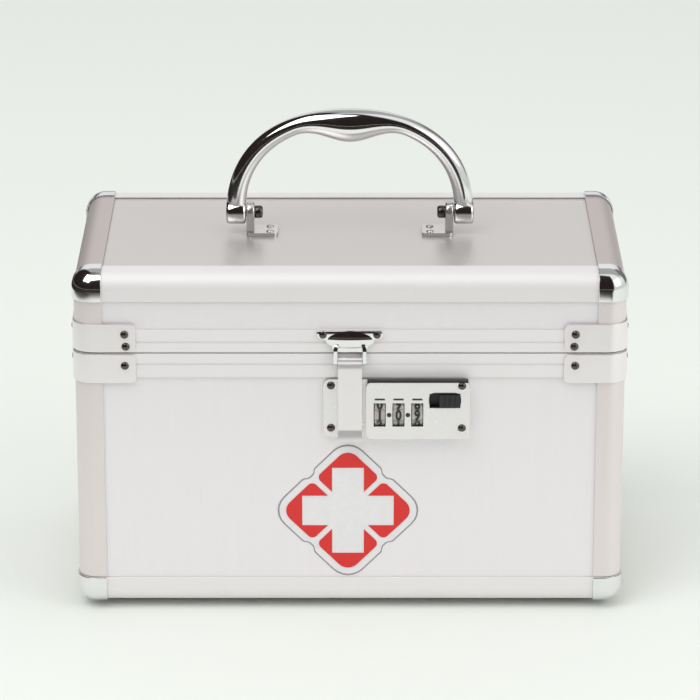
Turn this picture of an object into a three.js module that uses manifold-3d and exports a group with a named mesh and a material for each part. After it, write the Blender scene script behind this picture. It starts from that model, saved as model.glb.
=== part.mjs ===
// Medication lock box: an aluminium-framed case with a hinged lid, a folding
// carry handle, a hasp and a three-dial combination lock.
// Millimetres. +X is to the right, +Y to the back, +Z up, floor at z = 0.
import * as THREE from "three";
import { RoundedBoxGeometry } from "three/addons/geometries/RoundedBoxGeometry.js";
import { mergeVertices } from "three/addons/utils/BufferGeometryUtils.js";
import Module from "manifold-3d";

// Overall case
const caseWidth = 239.5;
const caseDepth = 125.2;
const caseHeight = 153.5;
const groundClearance = 3.0;
const lidHeight = 35.8; // from the middle of the seam to the top
const seamGap = 0.6;
const fit = 0.3; // gap between pieces that are assembled onto each other
const closeFit = 0.2; // gap between a panel face and its slot

// Edge extrusion and panels
const edgeRadius = 8.0;
const edgeSkin = 0.8;
const edgeFlange = 12.5;
const edgeCore = 9.0;
const lipThickness = 1.0;
const panelThickness = 3.3;

// Rims at the seam
const bodyRimFlange = 10.8;
const lidRimFlange = 10.2;
const bodyRimWeb = 3.2;
const lidRimWeb = 2.0;
const rimLipDrop = 4.5;
const rimGroove = 0.4;
const tongueHeight = 3.3;
const tongueThickness = 1.5;
const tongueRecess = 3.2;

// Linings, corner caps, seam brackets, feet
const linerThickness = 1.2;
const capStandoff = 0.9;
const capThickness = 0.6;
const capSize = 13.3;
const bracketThickness = 0.7;
const bracketFrontLeg = 27.0;
const bracketSideLeg = 22.0;
const bracketRivetEdge = 4.5;
const lidBracketHeight = 12.6;
const bodyBracketHeight = 13.0;
const rivetRadius = 2.2;
const rivetHeight = 0.8;
const footRadius = 6.5;
const footInset = 22.0;

// Lid hinge and stay
const openHingeOffset = 2.7;
const hingeKnuckleRadius = 2.3;
const hingePinRadius = 1.1;
const hingeBore = 1.35;
const hingeLeafThickness = 1.0;
const hingeLength = 38.0;
const hingeInset = 53.75;
const hingeLeafHeight = 11.0;
const stayPivotForward = 46.0;
const stayPivotRise = 16.0;
const stayPinForward = 40.0;
const stayWidth = 8.0;
const lidOpening = 95.0;
const stayThickness = 1.2;
const stayStudRadius = 1.5;

// Carry handle
const handleWidth = 109.6;
const handleRise = 43.5;
const handleSquareness = 2.25; // 2 is an ellipse, more is squarer
const lugRise = 9.6;
const handleLegWidth = 8.6;
const handleBar = 3.9;
const handleDepth = 4.0;
const gripDrop = 7.2;
const gripSpread = 26.0;
const gripDepth = 2.2;
const handleEyeRadius = 5.4;
const handlePinRadius = 2.2;
const lugWidth = 7.7;
const lugFootLength = 14.0;
const lugFootDepth = 13.0;
const lugFootThickness = 1.5;

// Combination lock, placed from the middle of the front panel
const lockLeft = -11.6;
const lockWidth = 63.7;
const lockHeight = 26.5;
const lockBelowSeam = 11.9;
const lockPlate = 1.5;
const lockRaised = 5.0;
const lockRaisedLeft = 7.0;
const lockCornerRadius = 3.0;
const lockFaceThickness = 0.8;
const dialCount = 3;
const dialFirst = 12.9;
const dialPitch = 8.15;
const dialBelowTop = 15.2;
const dialRadius = 7.7;
const dialWidth = 4.6;
const dialDepth = 1.6;
const dialNotch = 0.5;
const dialLands = 10;
const dialShaftRadius = 1.4;
const windowWidth = 5.2;
const caseWall = 1.0;
const lockCaseDepth = 11.0;
const lockCaseMargin = 2.6;
const lockCaseBelowTop = 3.1;
const slideTravel = 4.0;
const slideKnobWidth = 8.8;
const slideKnobHeight = 5.9;
const slideKnobInset = 8.9;
const slideBelowTop = 8.7;
const boltRecess = 0.3;
const boltThickness = 1.2;
const boltWidth = 2.6;
const resetTravel = 3.0;
const resetInset = 11.5;
const resetBelowDials = 1.3;

// Hasp
const haspWidth = 10.5;
const haspThickness = 3.2;
const haspStandoff = 1.9;
const haspOverhang = 0.6;
const haspLip = 1.2;
const haspPinDrop = 2.7;
const haspPinForward = 3.5;
const haspPinRadius = 0.8;
const haspKnuckleRadius = 1.7;
const haspBore = 1.05;
const haspBracketWidth = 29.0;
const haspBracketHeight = 9.9;
const haspBracketThickness = 1.2;
const haspWaist = 7.4;

// Levels and faces that follow from the sizes above
const caseBottom = groundClearance;
const caseTop = caseBottom + caseHeight;
const seamHeight = caseTop - lidHeight;
const bodyTop = seamHeight - seamGap / 2;
const lidBottom = seamHeight + seamGap / 2;
const panelInset = edgeSkin + closeFit;
const slotInset = panelInset + panelThickness + closeFit;
const lipInset = slotInset + lipThickness;
const panelEdge = edgeCore + fit;
const bodyRimBottom = bodyTop - bodyRimFlange;
const lidRimTop = lidBottom + lidRimFlange;
const lidWebTop = lidBottom + tongueRecess + lidRimWeb;
const frontFace = -caseDepth / 2 + panelInset;
const hingeY = caseDepth / 2 + openHingeOffset;
const linerInset = lipInset + closeFit;
const linerInner = linerInset + linerThickness;
const lidTopOuter = caseTop - panelInset;
const handlePivotHeight = lidTopOuter + lugRise;
const hingeSpacing = caseWidth - 2 * hingeInset;
const dialAxisY = frontFace + dialDepth;
const bracketOuter = fit + bracketThickness;
const haspPinHeight = seamHeight - haspPinDrop;
const lockRight = lockLeft + lockWidth;
const lockTop = seamHeight - lockBelowSeam;
const lockBottom = lockTop - lockHeight;
const dialHeight = lockTop - dialBelowTop;
const lockCaseLeft = dialFirst - dialWidth / 2 - fit - caseWall;
const lockCaseRight = lockRight - lockCaseMargin;
const lockCaseBottom = dialHeight - dialRadius - fit - caseWall;
const lockCaseTop = lockTop - lockCaseBelowTop;
const slideKnobCentre = lockRight - slideKnobInset;
const slideHeight = lockTop - slideBelowTop;
const boltHeight = slideHeight + slideKnobHeight / 2 - fit + boltWidth / 2;
const boltTip = lockRaisedLeft + boltRecess;
const resetAcross = lockCaseRight - resetInset;
const resetHeight = dialHeight - resetBelowDials;
const stayArmX = -caseWidth / 2 + linerInner + 0.6;
const stayPivotY = hingeY - stayPivotForward;
const stayPivotZ = seamHeight + stayPivotRise;
const stayPinY = hingeY - stayPinForward;
// Both stay pivots lie at one distance from the hinge, so the arm turns at
// half the lid's rate.
const stayReach = Math.hypot(stayPivotForward, stayPivotRise);
const stayPinZ = seamHeight - Math.sqrt(stayReach ** 2 - stayPinForward ** 2);
const eps = 0.4; // how far a cutter runs past the face that it cuts

const wasm = await Module();
wasm.setup();

// Materials
const finish = (color, roughness, metalness) => new THREE.MeshStandardMaterial({ color, roughness, metalness });
const sheetMetal = finish(0xdcdad8, 0.42, 0.75);
const extrusion = finish(0xd9d2d2, 0.35, 0.85);
const chrome = finish(0xf0f0f2, 0.08, 1.0);
const zinc = finish(0xc9c9cc, 0.3, 0.95);
const darkPlastic = finish(0x24242a, 0.5, 0.0);
const rubber = finish(0x2b2b2d, 0.8, 0.0);
const lining = finish(0x5c6066, 0.95, 0.0);

// A closed three.js geometry as a solid that can be joined and cut
function solid(geometry) {
  const bare = new THREE.BufferGeometry();
  bare.setAttribute("position", geometry.getAttribute("position"));
  bare.setIndex(geometry.index);
  const merged = mergeVertices(bare, 1e-4);
  const index = merged.index.array;
  const kept = [];
  for (let i = 0; i < index.length; i += 3) {
    const [a, b, c] = [index[i], index[i + 1], index[i + 2]];
    if (a !== b && b !== c && c !== a) kept.push(a, b, c);
  }
  const vertProperties = new Float32Array(merged.getAttribute("position").array);
  return new wasm.Manifold(new wasm.Mesh({ numProp: 3, vertProperties, triVerts: new Uint32Array(kept) }));
}

const join = (...solids) => solids.reduce((whole, next) => whole.add(next));
const cut = (whole, ...cutters) => cutters.reduce((rest, next) => rest.subtract(next), whole);

function mesh(name, shape, material) {
  const data = shape.getMesh();
  const geometry = new THREE.BufferGeometry();
  geometry.setAttribute("position", new THREE.BufferAttribute(new Float32Array(data.vertProperties), 3));
  geometry.setIndex(new THREE.BufferAttribute(new Uint32Array(data.triVerts), 1));
  geometry.computeVertexNormals();
  const piece = new THREE.Mesh(geometry, material);
  piece.name = name;
  return piece;
}

// Primitive solids, given by their limits along the axes
function box(x0, x1, y0, y1, z0, z1) {
  const geometry = new THREE.BoxGeometry(x1 - x0, y1 - y0, z1 - z0);
  geometry.translate((x0 + x1) / 2, (y0 + y1) / 2, (z0 + z1) / 2);
  return solid(geometry);
}

function rodX(radius, x0, x1, y, z, sides = 16) {
  const geometry = new THREE.CylinderGeometry(radius, radius, x1 - x0, sides);
  geometry.rotateZ(Math.PI / 2);
  geometry.translate((x0 + x1) / 2, y, z);
  return solid(geometry);
}

function upright(shape, z0, z1, curveSegments = 2) {
  const geometry = new THREE.ExtrudeGeometry(shape, { depth: z1 - z0, bevelEnabled: false, curveSegments });
  geometry.translate(0, 0, z0);
  return solid(geometry);
}

// A shape drawn in X and Z, given thickness from y0 to y1
function facing(shape, y0, y1, curveSegments = 3) {
  const geometry = new THREE.ExtrudeGeometry(shape, { depth: y1 - y0, bevelEnabled: false, curveSegments });
  geometry.rotateX(Math.PI / 2);
  geometry.translate(0, y1, 0);
  return solid(geometry);
}

function roundedRectangle(x0, x1, y0, y1, radius) {
  const shape = new THREE.Shape();
  shape.moveTo(x0 + radius, y0);
  shape.lineTo(x1 - radius, y0);
  shape.absarc(x1 - radius, y0 + radius, radius, -Math.PI / 2, 0);
  shape.lineTo(x1, y1 - radius);
  shape.absarc(x1 - radius, y1 - radius, radius, 0, Math.PI / 2);
  shape.lineTo(x0 + radius, y1);
  shape.absarc(x0 + radius, y1 - radius, radius, Math.PI / 2, Math.PI);
  shape.lineTo(x0, y0 + radius);
  shape.absarc(x0 + radius, y0 + radius, radius, Math.PI, Math.PI * 1.5);
  return shape;
}

// The case outline in plan, moved inwards by an inset
function planOutline(inset) {
  const x = caseWidth / 2 - inset;
  const y = caseDepth / 2 - inset;
  return roundedRectangle(-x, x, -y, y, Math.max(edgeRadius - inset, 0.6));
}

const slab = (inset, z0, z1) => upright(planOutline(inset), z0, z1);
const ring = (outer, inner, z0, z1) => slab(outer, z0, z1).subtract(slab(inner, z0 - eps, z1 + eps));

// The whole case as a rounded block, grown outwards by a standoff
function block(standoff, segments = 3) {
  const geometry = new RoundedBoxGeometry(
    caseWidth + 2 * standoff,
    caseDepth + 2 * standoff,
    caseHeight + 2 * standoff,
    segments,
    edgeRadius + standoff,
  );
  geometry.translate(0, 0, caseBottom + caseHeight / 2);
  return solid(geometry);
}

// A domed rivet head on a face whose outward direction is given
function rivet(x, y, z, outward, radius = rivetRadius, height = rivetHeight) {
  const profile = [
    new THREE.Vector2(0, -0.3),
    new THREE.Vector2(radius, -0.3),
    new THREE.Vector2(radius * 0.8, height * 0.65),
    new THREE.Vector2(0, height),
  ];
  const geometry = new THREE.LatheGeometry(profile, 8);
  geometry.applyQuaternion(new THREE.Quaternion().setFromUnitVectors(new THREE.Vector3(0, 1, 0), outward));
  geometry.translate(x, y, z);
  return solid(geometry);
}

const towardsFront = new THREE.Vector3(0, -1, 0);
const towardsBack = new THREE.Vector3(0, 1, 0);
const towardsRight = new THREE.Vector3(1, 0, 0);
const towardsLeft = new THREE.Vector3(-1, 0, 0);
const upwards = new THREE.Vector3(0, 0, 1);

const corners = [
  { name: "front_left", sx: -1, sy: -1 },
  { name: "front_right", sx: 1, sy: -1 },
  { name: "back_left", sx: -1, sy: 1 },
  { name: "back_right", sx: 1, sy: 1 },
];

// Edge extrusion: a rounded outer skin with two flanges, a slot for each panel
// and an inner lip, all on a solid corner core.
function edgeSection() {
  const shape = new THREE.Shape();
  shape.moveTo(edgeRadius, 0);
  shape.lineTo(edgeFlange, 0);
  shape.lineTo(edgeFlange, edgeSkin);
  shape.lineTo(edgeCore, edgeSkin);
  shape.lineTo(edgeCore, slotInset);
  shape.lineTo(edgeFlange, slotInset);
  shape.lineTo(edgeFlange, lipInset);
  shape.lineTo(lipInset, lipInset);
  shape.lineTo(lipInset, edgeFlange);
  shape.lineTo(slotInset, edgeFlange);
  shape.lineTo(slotInset, edgeCore);
  shape.lineTo(edgeSkin, edgeCore);
  shape.lineTo(edgeSkin, edgeFlange);
  shape.lineTo(0, edgeFlange);
  shape.lineTo(0, edgeRadius);
  shape.absarc(edgeRadius, edgeRadius, edgeRadius, Math.PI, Math.PI * 1.5);
  return shape;
}

// A length of edge extrusion along Z at one vertical edge of the case
function verticalEdge(corner, z0, z1) {
  const geometry = new THREE.ExtrudeGeometry(edgeSection(), { depth: z1 - z0, bevelEnabled: false, curveSegments: 3 });
  const turn = { "-1-1": 0, "1-1": 1, "11": 2, "-11": 3 }[`${corner.sx}${corner.sy}`];
  geometry.rotateZ((turn * Math.PI) / 2);
  geometry.translate((corner.sx * caseWidth) / 2, (corner.sy * caseDepth) / 2, z0);
  return solid(geometry);
}

// Four lengths of edge extrusion round the top or bottom, before rounding.
// The section is swept square, because the rounded block trims its outside.
function edgeRing(atTop) {
  const width = caseWidth / 2;
  const depth = caseDepth / 2;
  const level = (offset) => (atTop ? caseTop - offset : caseBottom + offset);
  const layer = (outer, inner, from, to) => {
    const [low, high] = [level(from), level(to)].sort((a, b) => a - b);
    const hole = box(-width + inner, width - inner, -depth + inner, depth - inner, low - eps, high + eps);
    return box(-width + outer, width - outer, -depth + outer, depth - outer, low, high).subtract(hole);
  };
  return join(
    layer(0, edgeFlange, 0, edgeSkin),
    layer(0, edgeCore, 0, lipInset),
    layer(0, lipInset, 0, edgeCore),
    layer(slotInset, edgeFlange, slotInset, lipInset),
    layer(0, edgeSkin, 0, edgeFlange),
    layer(slotInset, lipInset, 0, edgeFlange),
  );
}

// Sheet panels, each held by its edges in the slots round it
function sidePanel(side, z0, z1) {
  const outer = caseWidth / 2 - panelInset;
  const [x0, x1] = [side * outer, side * (outer - panelThickness)].sort((a, b) => a - b);
  return box(x0, x1, -caseDepth / 2 + panelEdge, caseDepth / 2 - panelEdge, z0, z1);
}

function endPanel(side, z0, z1) {
  const outer = caseDepth / 2 - panelInset;
  const [y0, y1] = [side * outer, side * (outer - panelThickness)].sort((a, b) => a - b);
  return box(-caseWidth / 2 + panelEdge, caseWidth / 2 - panelEdge, y0, y1, z0, z1);
}

function flatPanel(outerLevel, inward) {
  const x = caseWidth / 2 - panelEdge;
  const y = caseDepth / 2 - panelEdge;
  const levels = [outerLevel, outerLevel + inward * panelThickness].sort((a, b) => a - b);
  return box(-x, x, -y, y, levels[0], levels[1]);
}

// Pressed shell that stands round one outer corner of the case
function cornerCap(corner, atTop) {
  const shell = block(capStandoff).subtract(block(capStandoff - capThickness));
  const reach = (half, sign) => [sign * (half + capStandoff + eps), sign * (half + capStandoff - capSize)];
  const [x0, x1] = reach(caseWidth / 2, corner.sx).sort((a, b) => a - b);
  const [y0, y1] = reach(caseDepth / 2, corner.sy).sort((a, b) => a - b);
  const middle = caseBottom + caseHeight / 2;
  const [z0, z1] = reach(caseHeight / 2, atTop ? 1 : -1).map((v) => v + middle).sort((a, b) => a - b);
  return shell.intersect(box(x0, x1, y0, y1, z0, z1));
}

// Pressed angle that wraps one vertical edge beside the seam, with rivets
function seamBracket(corner, z0, z1, frontRivets, sideRivet) {
  const { sx, sy } = corner;
  const x = sx * (caseWidth / 2 + bracketOuter + eps);
  const y = sy * (caseDepth / 2 + bracketOuter + eps);
  const xEnd = sx * (caseWidth / 2 - bracketFrontLeg);
  const yEnd = sy * (caseDepth / 2 - bracketSideLeg);
  const zone = box(Math.min(x, xEnd), Math.max(x, xEnd), Math.min(y, yEnd), Math.max(y, yEnd), z0 - eps, z1 + eps);
  const strip = ring(-bracketOuter, -fit, z0, z1).intersect(zone);
  const faceY = sy * (caseDepth / 2 + bracketOuter);
  const faceX = sx * (caseWidth / 2 + bracketOuter);
  const heads = frontRivets.map(([inset, z]) =>
    rivet(sx * (caseWidth / 2 - inset), faceY, z, sy < 0 ? towardsFront : towardsBack));
  heads.push(rivet(faceX, sy * (caseDepth / 2 - sideRivet[0]), sideRivet[1], sx < 0 ? towardsLeft : towardsRight));
  return join(strip, ...heads);
}

// Thin moulded tray that covers the inner faces of one half of the case
function liner(z0, z1, floorAtTop) {
  const wall = ring(linerInset, linerInner, z0, z1);
  const floor = floorAtTop ? slab(linerInset, z1 - linerThickness, z1) : slab(linerInset, z0, z0 + linerThickness);
  return wall.add(floor);
}

const body = new THREE.Group();
const lid = new THREE.Group();

// Body shell: base, four walls, corner posts and the edge round the bottom
const wallBottom = caseBottom + panelEdge;
const wallTop = bodyTop - bodyRimWeb - fit;
const lockCutout = box(
  lockCaseLeft - fit, lockCaseRight + fit,
  -caseDepth, frontFace + 3 * lockCaseDepth,
  lockCaseBottom - fit, lockCaseTop + fit,
);
body.add(mesh("base_panel", flatPanel(caseBottom + panelInset, 1), sheetMetal));
body.add(mesh("front_panel", endPanel(-1, wallBottom, wallTop).subtract(lockCutout), sheetMetal));
body.add(mesh("back_panel", endPanel(1, wallBottom, wallTop), sheetMetal));
body.add(mesh("left_panel", sidePanel(-1, wallBottom, wallTop), sheetMetal));
body.add(mesh("right_panel", sidePanel(1, wallBottom, wallTop), sheetMetal));
body.add(mesh("base_edge", edgeRing(false).intersect(block(0)), extrusion));
for (const corner of corners) {
  const post = verticalEdge(corner, caseBottom + edgeFlange + fit, bodyRimBottom - fit);
  body.add(mesh(`corner_post_${corner.name}`, post, extrusion));
  body.add(mesh(`base_corner_${corner.name}`, cornerCap(corner, false), chrome));
}

// Body rim: outer flange with a rolled groove, panel slot, inner lip and the
// tongue that keeps dust out of the seam
const grooveHeight = bodyRimBottom + 5.5;
const bodyRim = join(
  ring(0, edgeSkin, bodyRimBottom, bodyTop),
  ring(0, lipInset, bodyTop - bodyRimWeb, bodyTop),
  ring(slotInset, lipInset, bodyTop - bodyRimWeb - rimLipDrop, bodyTop),
  ring(slotInset - edgeSkin, slotInset - edgeSkin + tongueThickness, bodyTop - bodyRimWeb, bodyTop + tongueHeight),
);
const bodyGroove = ring(-eps, rimGroove, grooveHeight, grooveHeight + edgeSkin);
body.add(mesh("body_rim", bodyRim.subtract(bodyGroove), extrusion));

// Lid rim: the same section turned over, with a recess for the tongue
const lidRim = join(
  ring(0, edgeSkin, lidBottom, lidRimTop),
  ring(0, slotInset - edgeSkin - fit, lidBottom, lidWebTop),
  ring(0, lipInset, lidWebTop - lidRimWeb, lidWebTop),
  ring(slotInset, lipInset, lidWebTop - lidRimWeb, lidWebTop + lipThickness * 3),
);
const lidGroove = ring(-eps, rimGroove, lidRimTop - 6.0, lidRimTop - 6.0 + edgeSkin);
lid.add(mesh("lid_rim", lidRim.subtract(lidGroove), extrusion));

// Lid shell: top, four walls and one frame with its corner posts
const lidWallBottom = lidWebTop + fit;
const lidWallTop = caseTop - panelEdge;
const lidPosts = corners.map((corner) => verticalEdge(corner, lidRimTop + fit, caseTop - edgeCore));
lid.add(mesh("lid_frame", join(edgeRing(true), ...lidPosts).intersect(block(0)), extrusion));
lid.add(mesh("lid_top_panel", flatPanel(lidTopOuter, -1), sheetMetal));
lid.add(mesh("lid_front_panel", endPanel(-1, lidWallBottom, lidWallTop), sheetMetal));
lid.add(mesh("lid_back_panel", endPanel(1, lidWallBottom, lidWallTop), sheetMetal));
lid.add(mesh("lid_right_panel", sidePanel(1, lidWallBottom, lidWallTop), sheetMetal));
const studHole = rodX(stayStudRadius + fit, -caseWidth / 2 + panelInset + 1.0, 0, stayPivotY, stayPivotZ);
lid.add(mesh("lid_left_panel", sidePanel(-1, lidWallBottom, lidWallTop).subtract(studHole), sheetMetal));
for (const corner of corners) lid.add(mesh(`lid_corner_${corner.name}`, cornerCap(corner, true), chrome));

// Seam brackets
const lidBracketBottom = lidBottom + fit;
const bodyBracketTop = bodyTop - fit;
for (const corner of corners) {
  const rivetInset = bracketFrontLeg - bracketRivetEdge;
  const lidRivets = [[rivetInset, lidBracketBottom + lidBracketHeight - bracketRivetEdge],
    [rivetInset - 1.7, lidBracketBottom + bracketRivetEdge - 1.5]];
  const bodyRivets = [[rivetInset, bodyBracketTop - bracketRivetEdge - 0.5]];
  const sideInset = bracketSideLeg - bracketRivetEdge;
  const upper = seamBracket(corner, lidBracketBottom, lidBracketBottom + lidBracketHeight,
    lidRivets, [sideInset, lidBracketBottom + lidBracketHeight / 2]);
  const lower = seamBracket(corner, bodyBracketTop - bodyBracketHeight, bodyBracketTop,
    bodyRivets, [sideInset, bodyBracketTop - bodyBracketHeight / 2]);
  lid.add(mesh(`lid_bracket_${corner.name}`, upper, chrome));
  body.add(mesh(`body_bracket_${corner.name}`, lower, chrome));
}

// Linings
const stayPinHole = rodX(stayStudRadius + 2 * fit, -caseWidth / 2, -caseWidth / 2 + linerInner + eps, stayPinY, stayPinZ);
const bodyLiner = liner(caseBottom + lipInset + closeFit, bodyTop - bodyRimWeb - 1.5, false);
body.add(mesh("body_liner", cut(bodyLiner, lockCutout, stayPinHole), lining));
const lidLiner = liner(lidWebTop + fit, caseTop - lipInset - closeFit, true);
lid.add(mesh("lid_liner", cut(lidLiner, studHole), lining));

// Feet under the base panel
const footHeight = caseBottom + panelInset - 0.1;
for (const { name, sx, sy } of corners) {
  const profile = [
    new THREE.Vector2(0, 0),
    new THREE.Vector2(footRadius - 1.0, 0),
    new THREE.Vector2(footRadius, 1.0),
    new THREE.Vector2(footRadius + 0.8, footHeight),
    new THREE.Vector2(0, footHeight),
  ];
  const geometry = new THREE.LatheGeometry(profile, 20);
  geometry.rotateX(Math.PI / 2);
  geometry.translate(sx * (caseWidth / 2 - footInset), sy * (caseDepth / 2 - footInset), 0);
  body.add(mesh(`foot_${name}`, solid(geometry), rubber));
}

// Lock housing: a flat plate with a raised right part, windows for the dials,
// and a slot for the slide and for the hasp
const housingBack = frontFace - 0.1;
const housingFace = housingBack - lockRaised;
const dialCentres = Array.from({ length: dialCount }, (_, i) => dialFirst + i * dialPitch);
const plate = facing(roundedRectangle(lockLeft, lockRight, lockBottom, lockTop, lockCornerRadius),
  housingBack - lockPlate, housingBack);
const raised = facing(roundedRectangle(lockRaisedLeft, lockRight, lockBottom, lockTop, lockCornerRadius),
  housingFace, housingBack);
const skinBack = housingFace + lockFaceThickness;
const windowHalf = Math.sqrt((dialRadius + fit) ** 2 - (dialAxisY - skinBack) ** 2);
const dialPocket = box(dialCentres[0] - dialWidth / 2 - fit, dialCentres[dialCount - 1] + dialWidth / 2 + fit,
  skinBack, housingBack + eps, dialHeight - dialRadius - fit, dialHeight + dialRadius + fit);
const windows = dialCentres.map((x) => box(x - windowWidth / 2, x + windowWidth / 2,
  housingFace - eps, skinBack + eps, dialHeight - windowHalf, dialHeight + windowHalf));
const boltFront = skinBack + fit;
const boltBack = boltFront + boltThickness;
const knobLeft = slideKnobCentre - slideKnobWidth / 2;
const knobRight = slideKnobCentre + slideKnobWidth / 2;
const knobBottom = slideHeight - slideKnobHeight / 2;
const knobTop = slideHeight + slideKnobHeight / 2;
const boltBottom = boltHeight - boltWidth / 2;
const boltTop = boltHeight + boltWidth / 2;
const knobSlot = box(knobLeft - slideTravel - fit, knobRight + fit,
  housingFace - eps, skinBack + eps, knobBottom - fit, knobTop + fit);
const slideCavity = box(knobLeft - slideTravel - fit, knobRight + fit,
  skinBack, boltBack + fit, knobBottom - fit, boltTop + fit);
const boltChannel = box(lockRaisedLeft - eps, knobRight, skinBack, boltBack + fit, boltBottom - fit, boltTop + fit);
const housingRivets = [lockTop - 2.8, lockBottom + 4.1].flatMap((z) => [
  rivet(lockLeft + 3.3, housingBack - lockPlate, z, towardsFront, 2.0, 0.9),
  rivet(lockRight - 3.5, housingFace, z, towardsFront, 2.0, 0.9),
]);
body.add(mesh("lock_housing",
  join(cut(join(plate, raised), dialPocket, ...windows, knobSlot, slideCavity, boltChannel), ...housingRivets), zinc));

// Lock case behind the panel, open to the front, with the shaft of the dials
const caseBack = frontFace + lockCaseDepth;
const lockCaseOuter = box(lockCaseLeft, lockCaseRight, frontFace, caseBack, lockCaseBottom, lockCaseTop);
const lockCaseInner = box(lockCaseLeft + caseWall, lockCaseRight - caseWall, frontFace - eps, caseBack - caseWall,
  lockCaseBottom + caseWall, lockCaseTop - caseWall);
const resetSlot = box(resetAcross - 2.5, resetAcross + 2.5, caseBack - 2 * caseWall, caseBack + eps,
  resetHeight - 1.6, resetHeight + resetTravel + 1.6);
const shaft = rodX(dialShaftRadius, lockCaseLeft + caseWall / 2, lockCaseRight - caseWall / 2, dialAxisY, dialHeight, 12);
body.add(mesh("lock_case", join(cut(lockCaseOuter, lockCaseInner, resetSlot), shaft), zinc));

// Number dials: a wheel with ten flats for the digits and a notch between two
function dial(x) {
  const pitch = (2 * Math.PI) / dialLands;
  const points = [];
  for (let i = 0; i < dialLands; i++) {
    const groove = (i - 0.5) * pitch - Math.PI / 2;
    for (const [turn, depth] of [[-0.12, 0], [-0.06, dialNotch], [0.06, dialNotch], [0.12, 0]]) {
      const angle = groove + turn * pitch;
      points.push(new THREE.Vector2(Math.cos(angle), Math.sin(angle)).multiplyScalar(dialRadius - depth));
    }
  }
  const shape = new THREE.Shape(points);
  const bore = new THREE.Path();
  bore.absarc(0, 0, dialShaftRadius + fit, 0, Math.PI * 2, true);
  shape.holes.push(bore);
  const geometry = new THREE.ExtrudeGeometry(shape, { depth: dialWidth, bevelEnabled: false, curveSegments: 6 });
  geometry.rotateY(Math.PI / 2);
  geometry.translate(x - dialWidth / 2, dialAxisY, dialHeight);
  return solid(geometry);
}
dialCentres.forEach((x, i) => body.add(mesh(`dial_${i + 1}`, dial(x), zinc)));

// Release slide: a knob in the slot, and behind it the bolt that enters the hasp
const knobFront = housingFace - 0.8;
const knob = box(knobLeft, knobRight, knobFront, boltBack, knobBottom, knobTop);
const slidePlate = box(knobLeft, knobRight, boltFront, boltBack, knobBottom, boltTop);
const bolt = box(boltTip, knobRight - 1, boltFront, boltBack, boltBottom, boltTop);
const knobGrip = [-1, 0, 1].map((i) => box(slideKnobCentre + i * 2.2 - 0.4, slideKnobCentre + i * 2.2 + 0.4,
  knobFront - eps, knobFront + 0.4, knobBottom - eps, knobTop + eps));
body.add(mesh("release_slider", join(cut(knob, ...knobGrip), slidePlate, bolt), darkPlastic));

// Reset lever: a flat foot inside the lock case with a finger tab through its back
const resetFoot = box(resetAcross - 5, resetAcross + 5, caseBack - caseWall - fit - 1.0, caseBack - caseWall - fit,
  resetHeight - 4, resetHeight + 4);
const resetTab = box(resetAcross - 2.2, resetAcross + 2.2, caseBack - caseWall - fit - 0.5, caseBack + 2.5,
  resetHeight - 1.3, resetHeight + 1.3);
body.add(mesh("reset_lever", join(resetFoot, resetTab), darkPlastic));

// Butt hinges at the back: two outer knuckles on the body leaf, one on the lid leaf
const knuckleThird = hingeLength / 3;
const leafFace = caseDepth / 2 + 0.1;
function hingeLeaf(x, onLid) {
  const half = hingeLength / 2;
  const zNear = seamHeight + (onLid ? seamGap / 2 + fit : -seamGap / 2 - fit);
  const zFar = seamHeight + (onLid ? hingeLeafHeight : -hingeLeafHeight);
  const leaf = box(x - half, x + half, leafFace, leafFace + hingeLeafThickness, Math.min(zNear, zFar), Math.max(zNear, zFar));
  const inner = knuckleThird / 2;
  const spans = onLid ? [[-inner + fit / 2, inner - fit / 2]] : [[-half, -inner - fit / 2], [inner + fit / 2, half]];
  const others = onLid ? [[-half - eps, -inner + fit / 2], [inner - fit / 2, half + eps]] : [[-inner - fit / 2, inner + fit / 2]];
  const clearances = others.map(([a, b]) => rodX(hingeKnuckleRadius + fit, x + a, x + b, hingeY, seamHeight));
  const knuckles = spans.map(([a, b]) => rodX(hingeKnuckleRadius, x + a, x + b, hingeY, seamHeight));
  const webs = spans.map(([a, b]) => box(x + a, x + b, leafFace, leafFace + hingeLeafThickness,
    Math.min(seamHeight, zFar), Math.max(seamHeight, zFar)));
  const bore = rodX(hingeBore, x - half - eps, x + half + eps, hingeY, seamHeight);
  const rivets = [-1, 0, 1].map((i) => rivet(x + i * (half - 6), leafFace + hingeLeafThickness,
    seamHeight + (onLid ? 1 : -1) * (hingeLeafHeight - 4.0), towardsBack, 1.7, 0.7));
  return join(cut(join(cut(leaf, ...clearances), ...webs, ...knuckles), bore), ...rivets);
}
for (const [side, name] of [[-1, "left"], [1, "right"]]) {
  const x = (side * hingeSpacing) / 2;
  body.add(mesh(`hinge_body_leaf_${name}`, hingeLeaf(x, false), zinc));
  lid.add(mesh(`hinge_lid_leaf_${name}`, hingeLeaf(x, true), zinc));
  const pin = rodX(hingePinRadius, x - hingeLength / 2 - 0.4, x + hingeLength / 2 + 0.4, hingeY, seamHeight, 14);
  body.add(mesh(`hinge_pin_${name}`, pin, zinc));
}

// Lid stay: a slotted strip that turns on a stud in the lid and slides along a
// pin in the body. Local frame: pivot at the origin, the strip along its own -Z.
const stayPin = join(
  rodX(stayStudRadius, -caseWidth / 2 + panelInset + panelThickness + 0.1, stayArmX + stayThickness + fit + 1.0, stayPinY, stayPinZ, 16),
  rodX(stayStudRadius + 1.5, stayArmX + stayThickness + fit, stayArmX + stayThickness + fit + 1.0, stayPinY, stayPinZ, 20),
);
body.add(mesh("stay_pin", stayPin, zinc));

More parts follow.
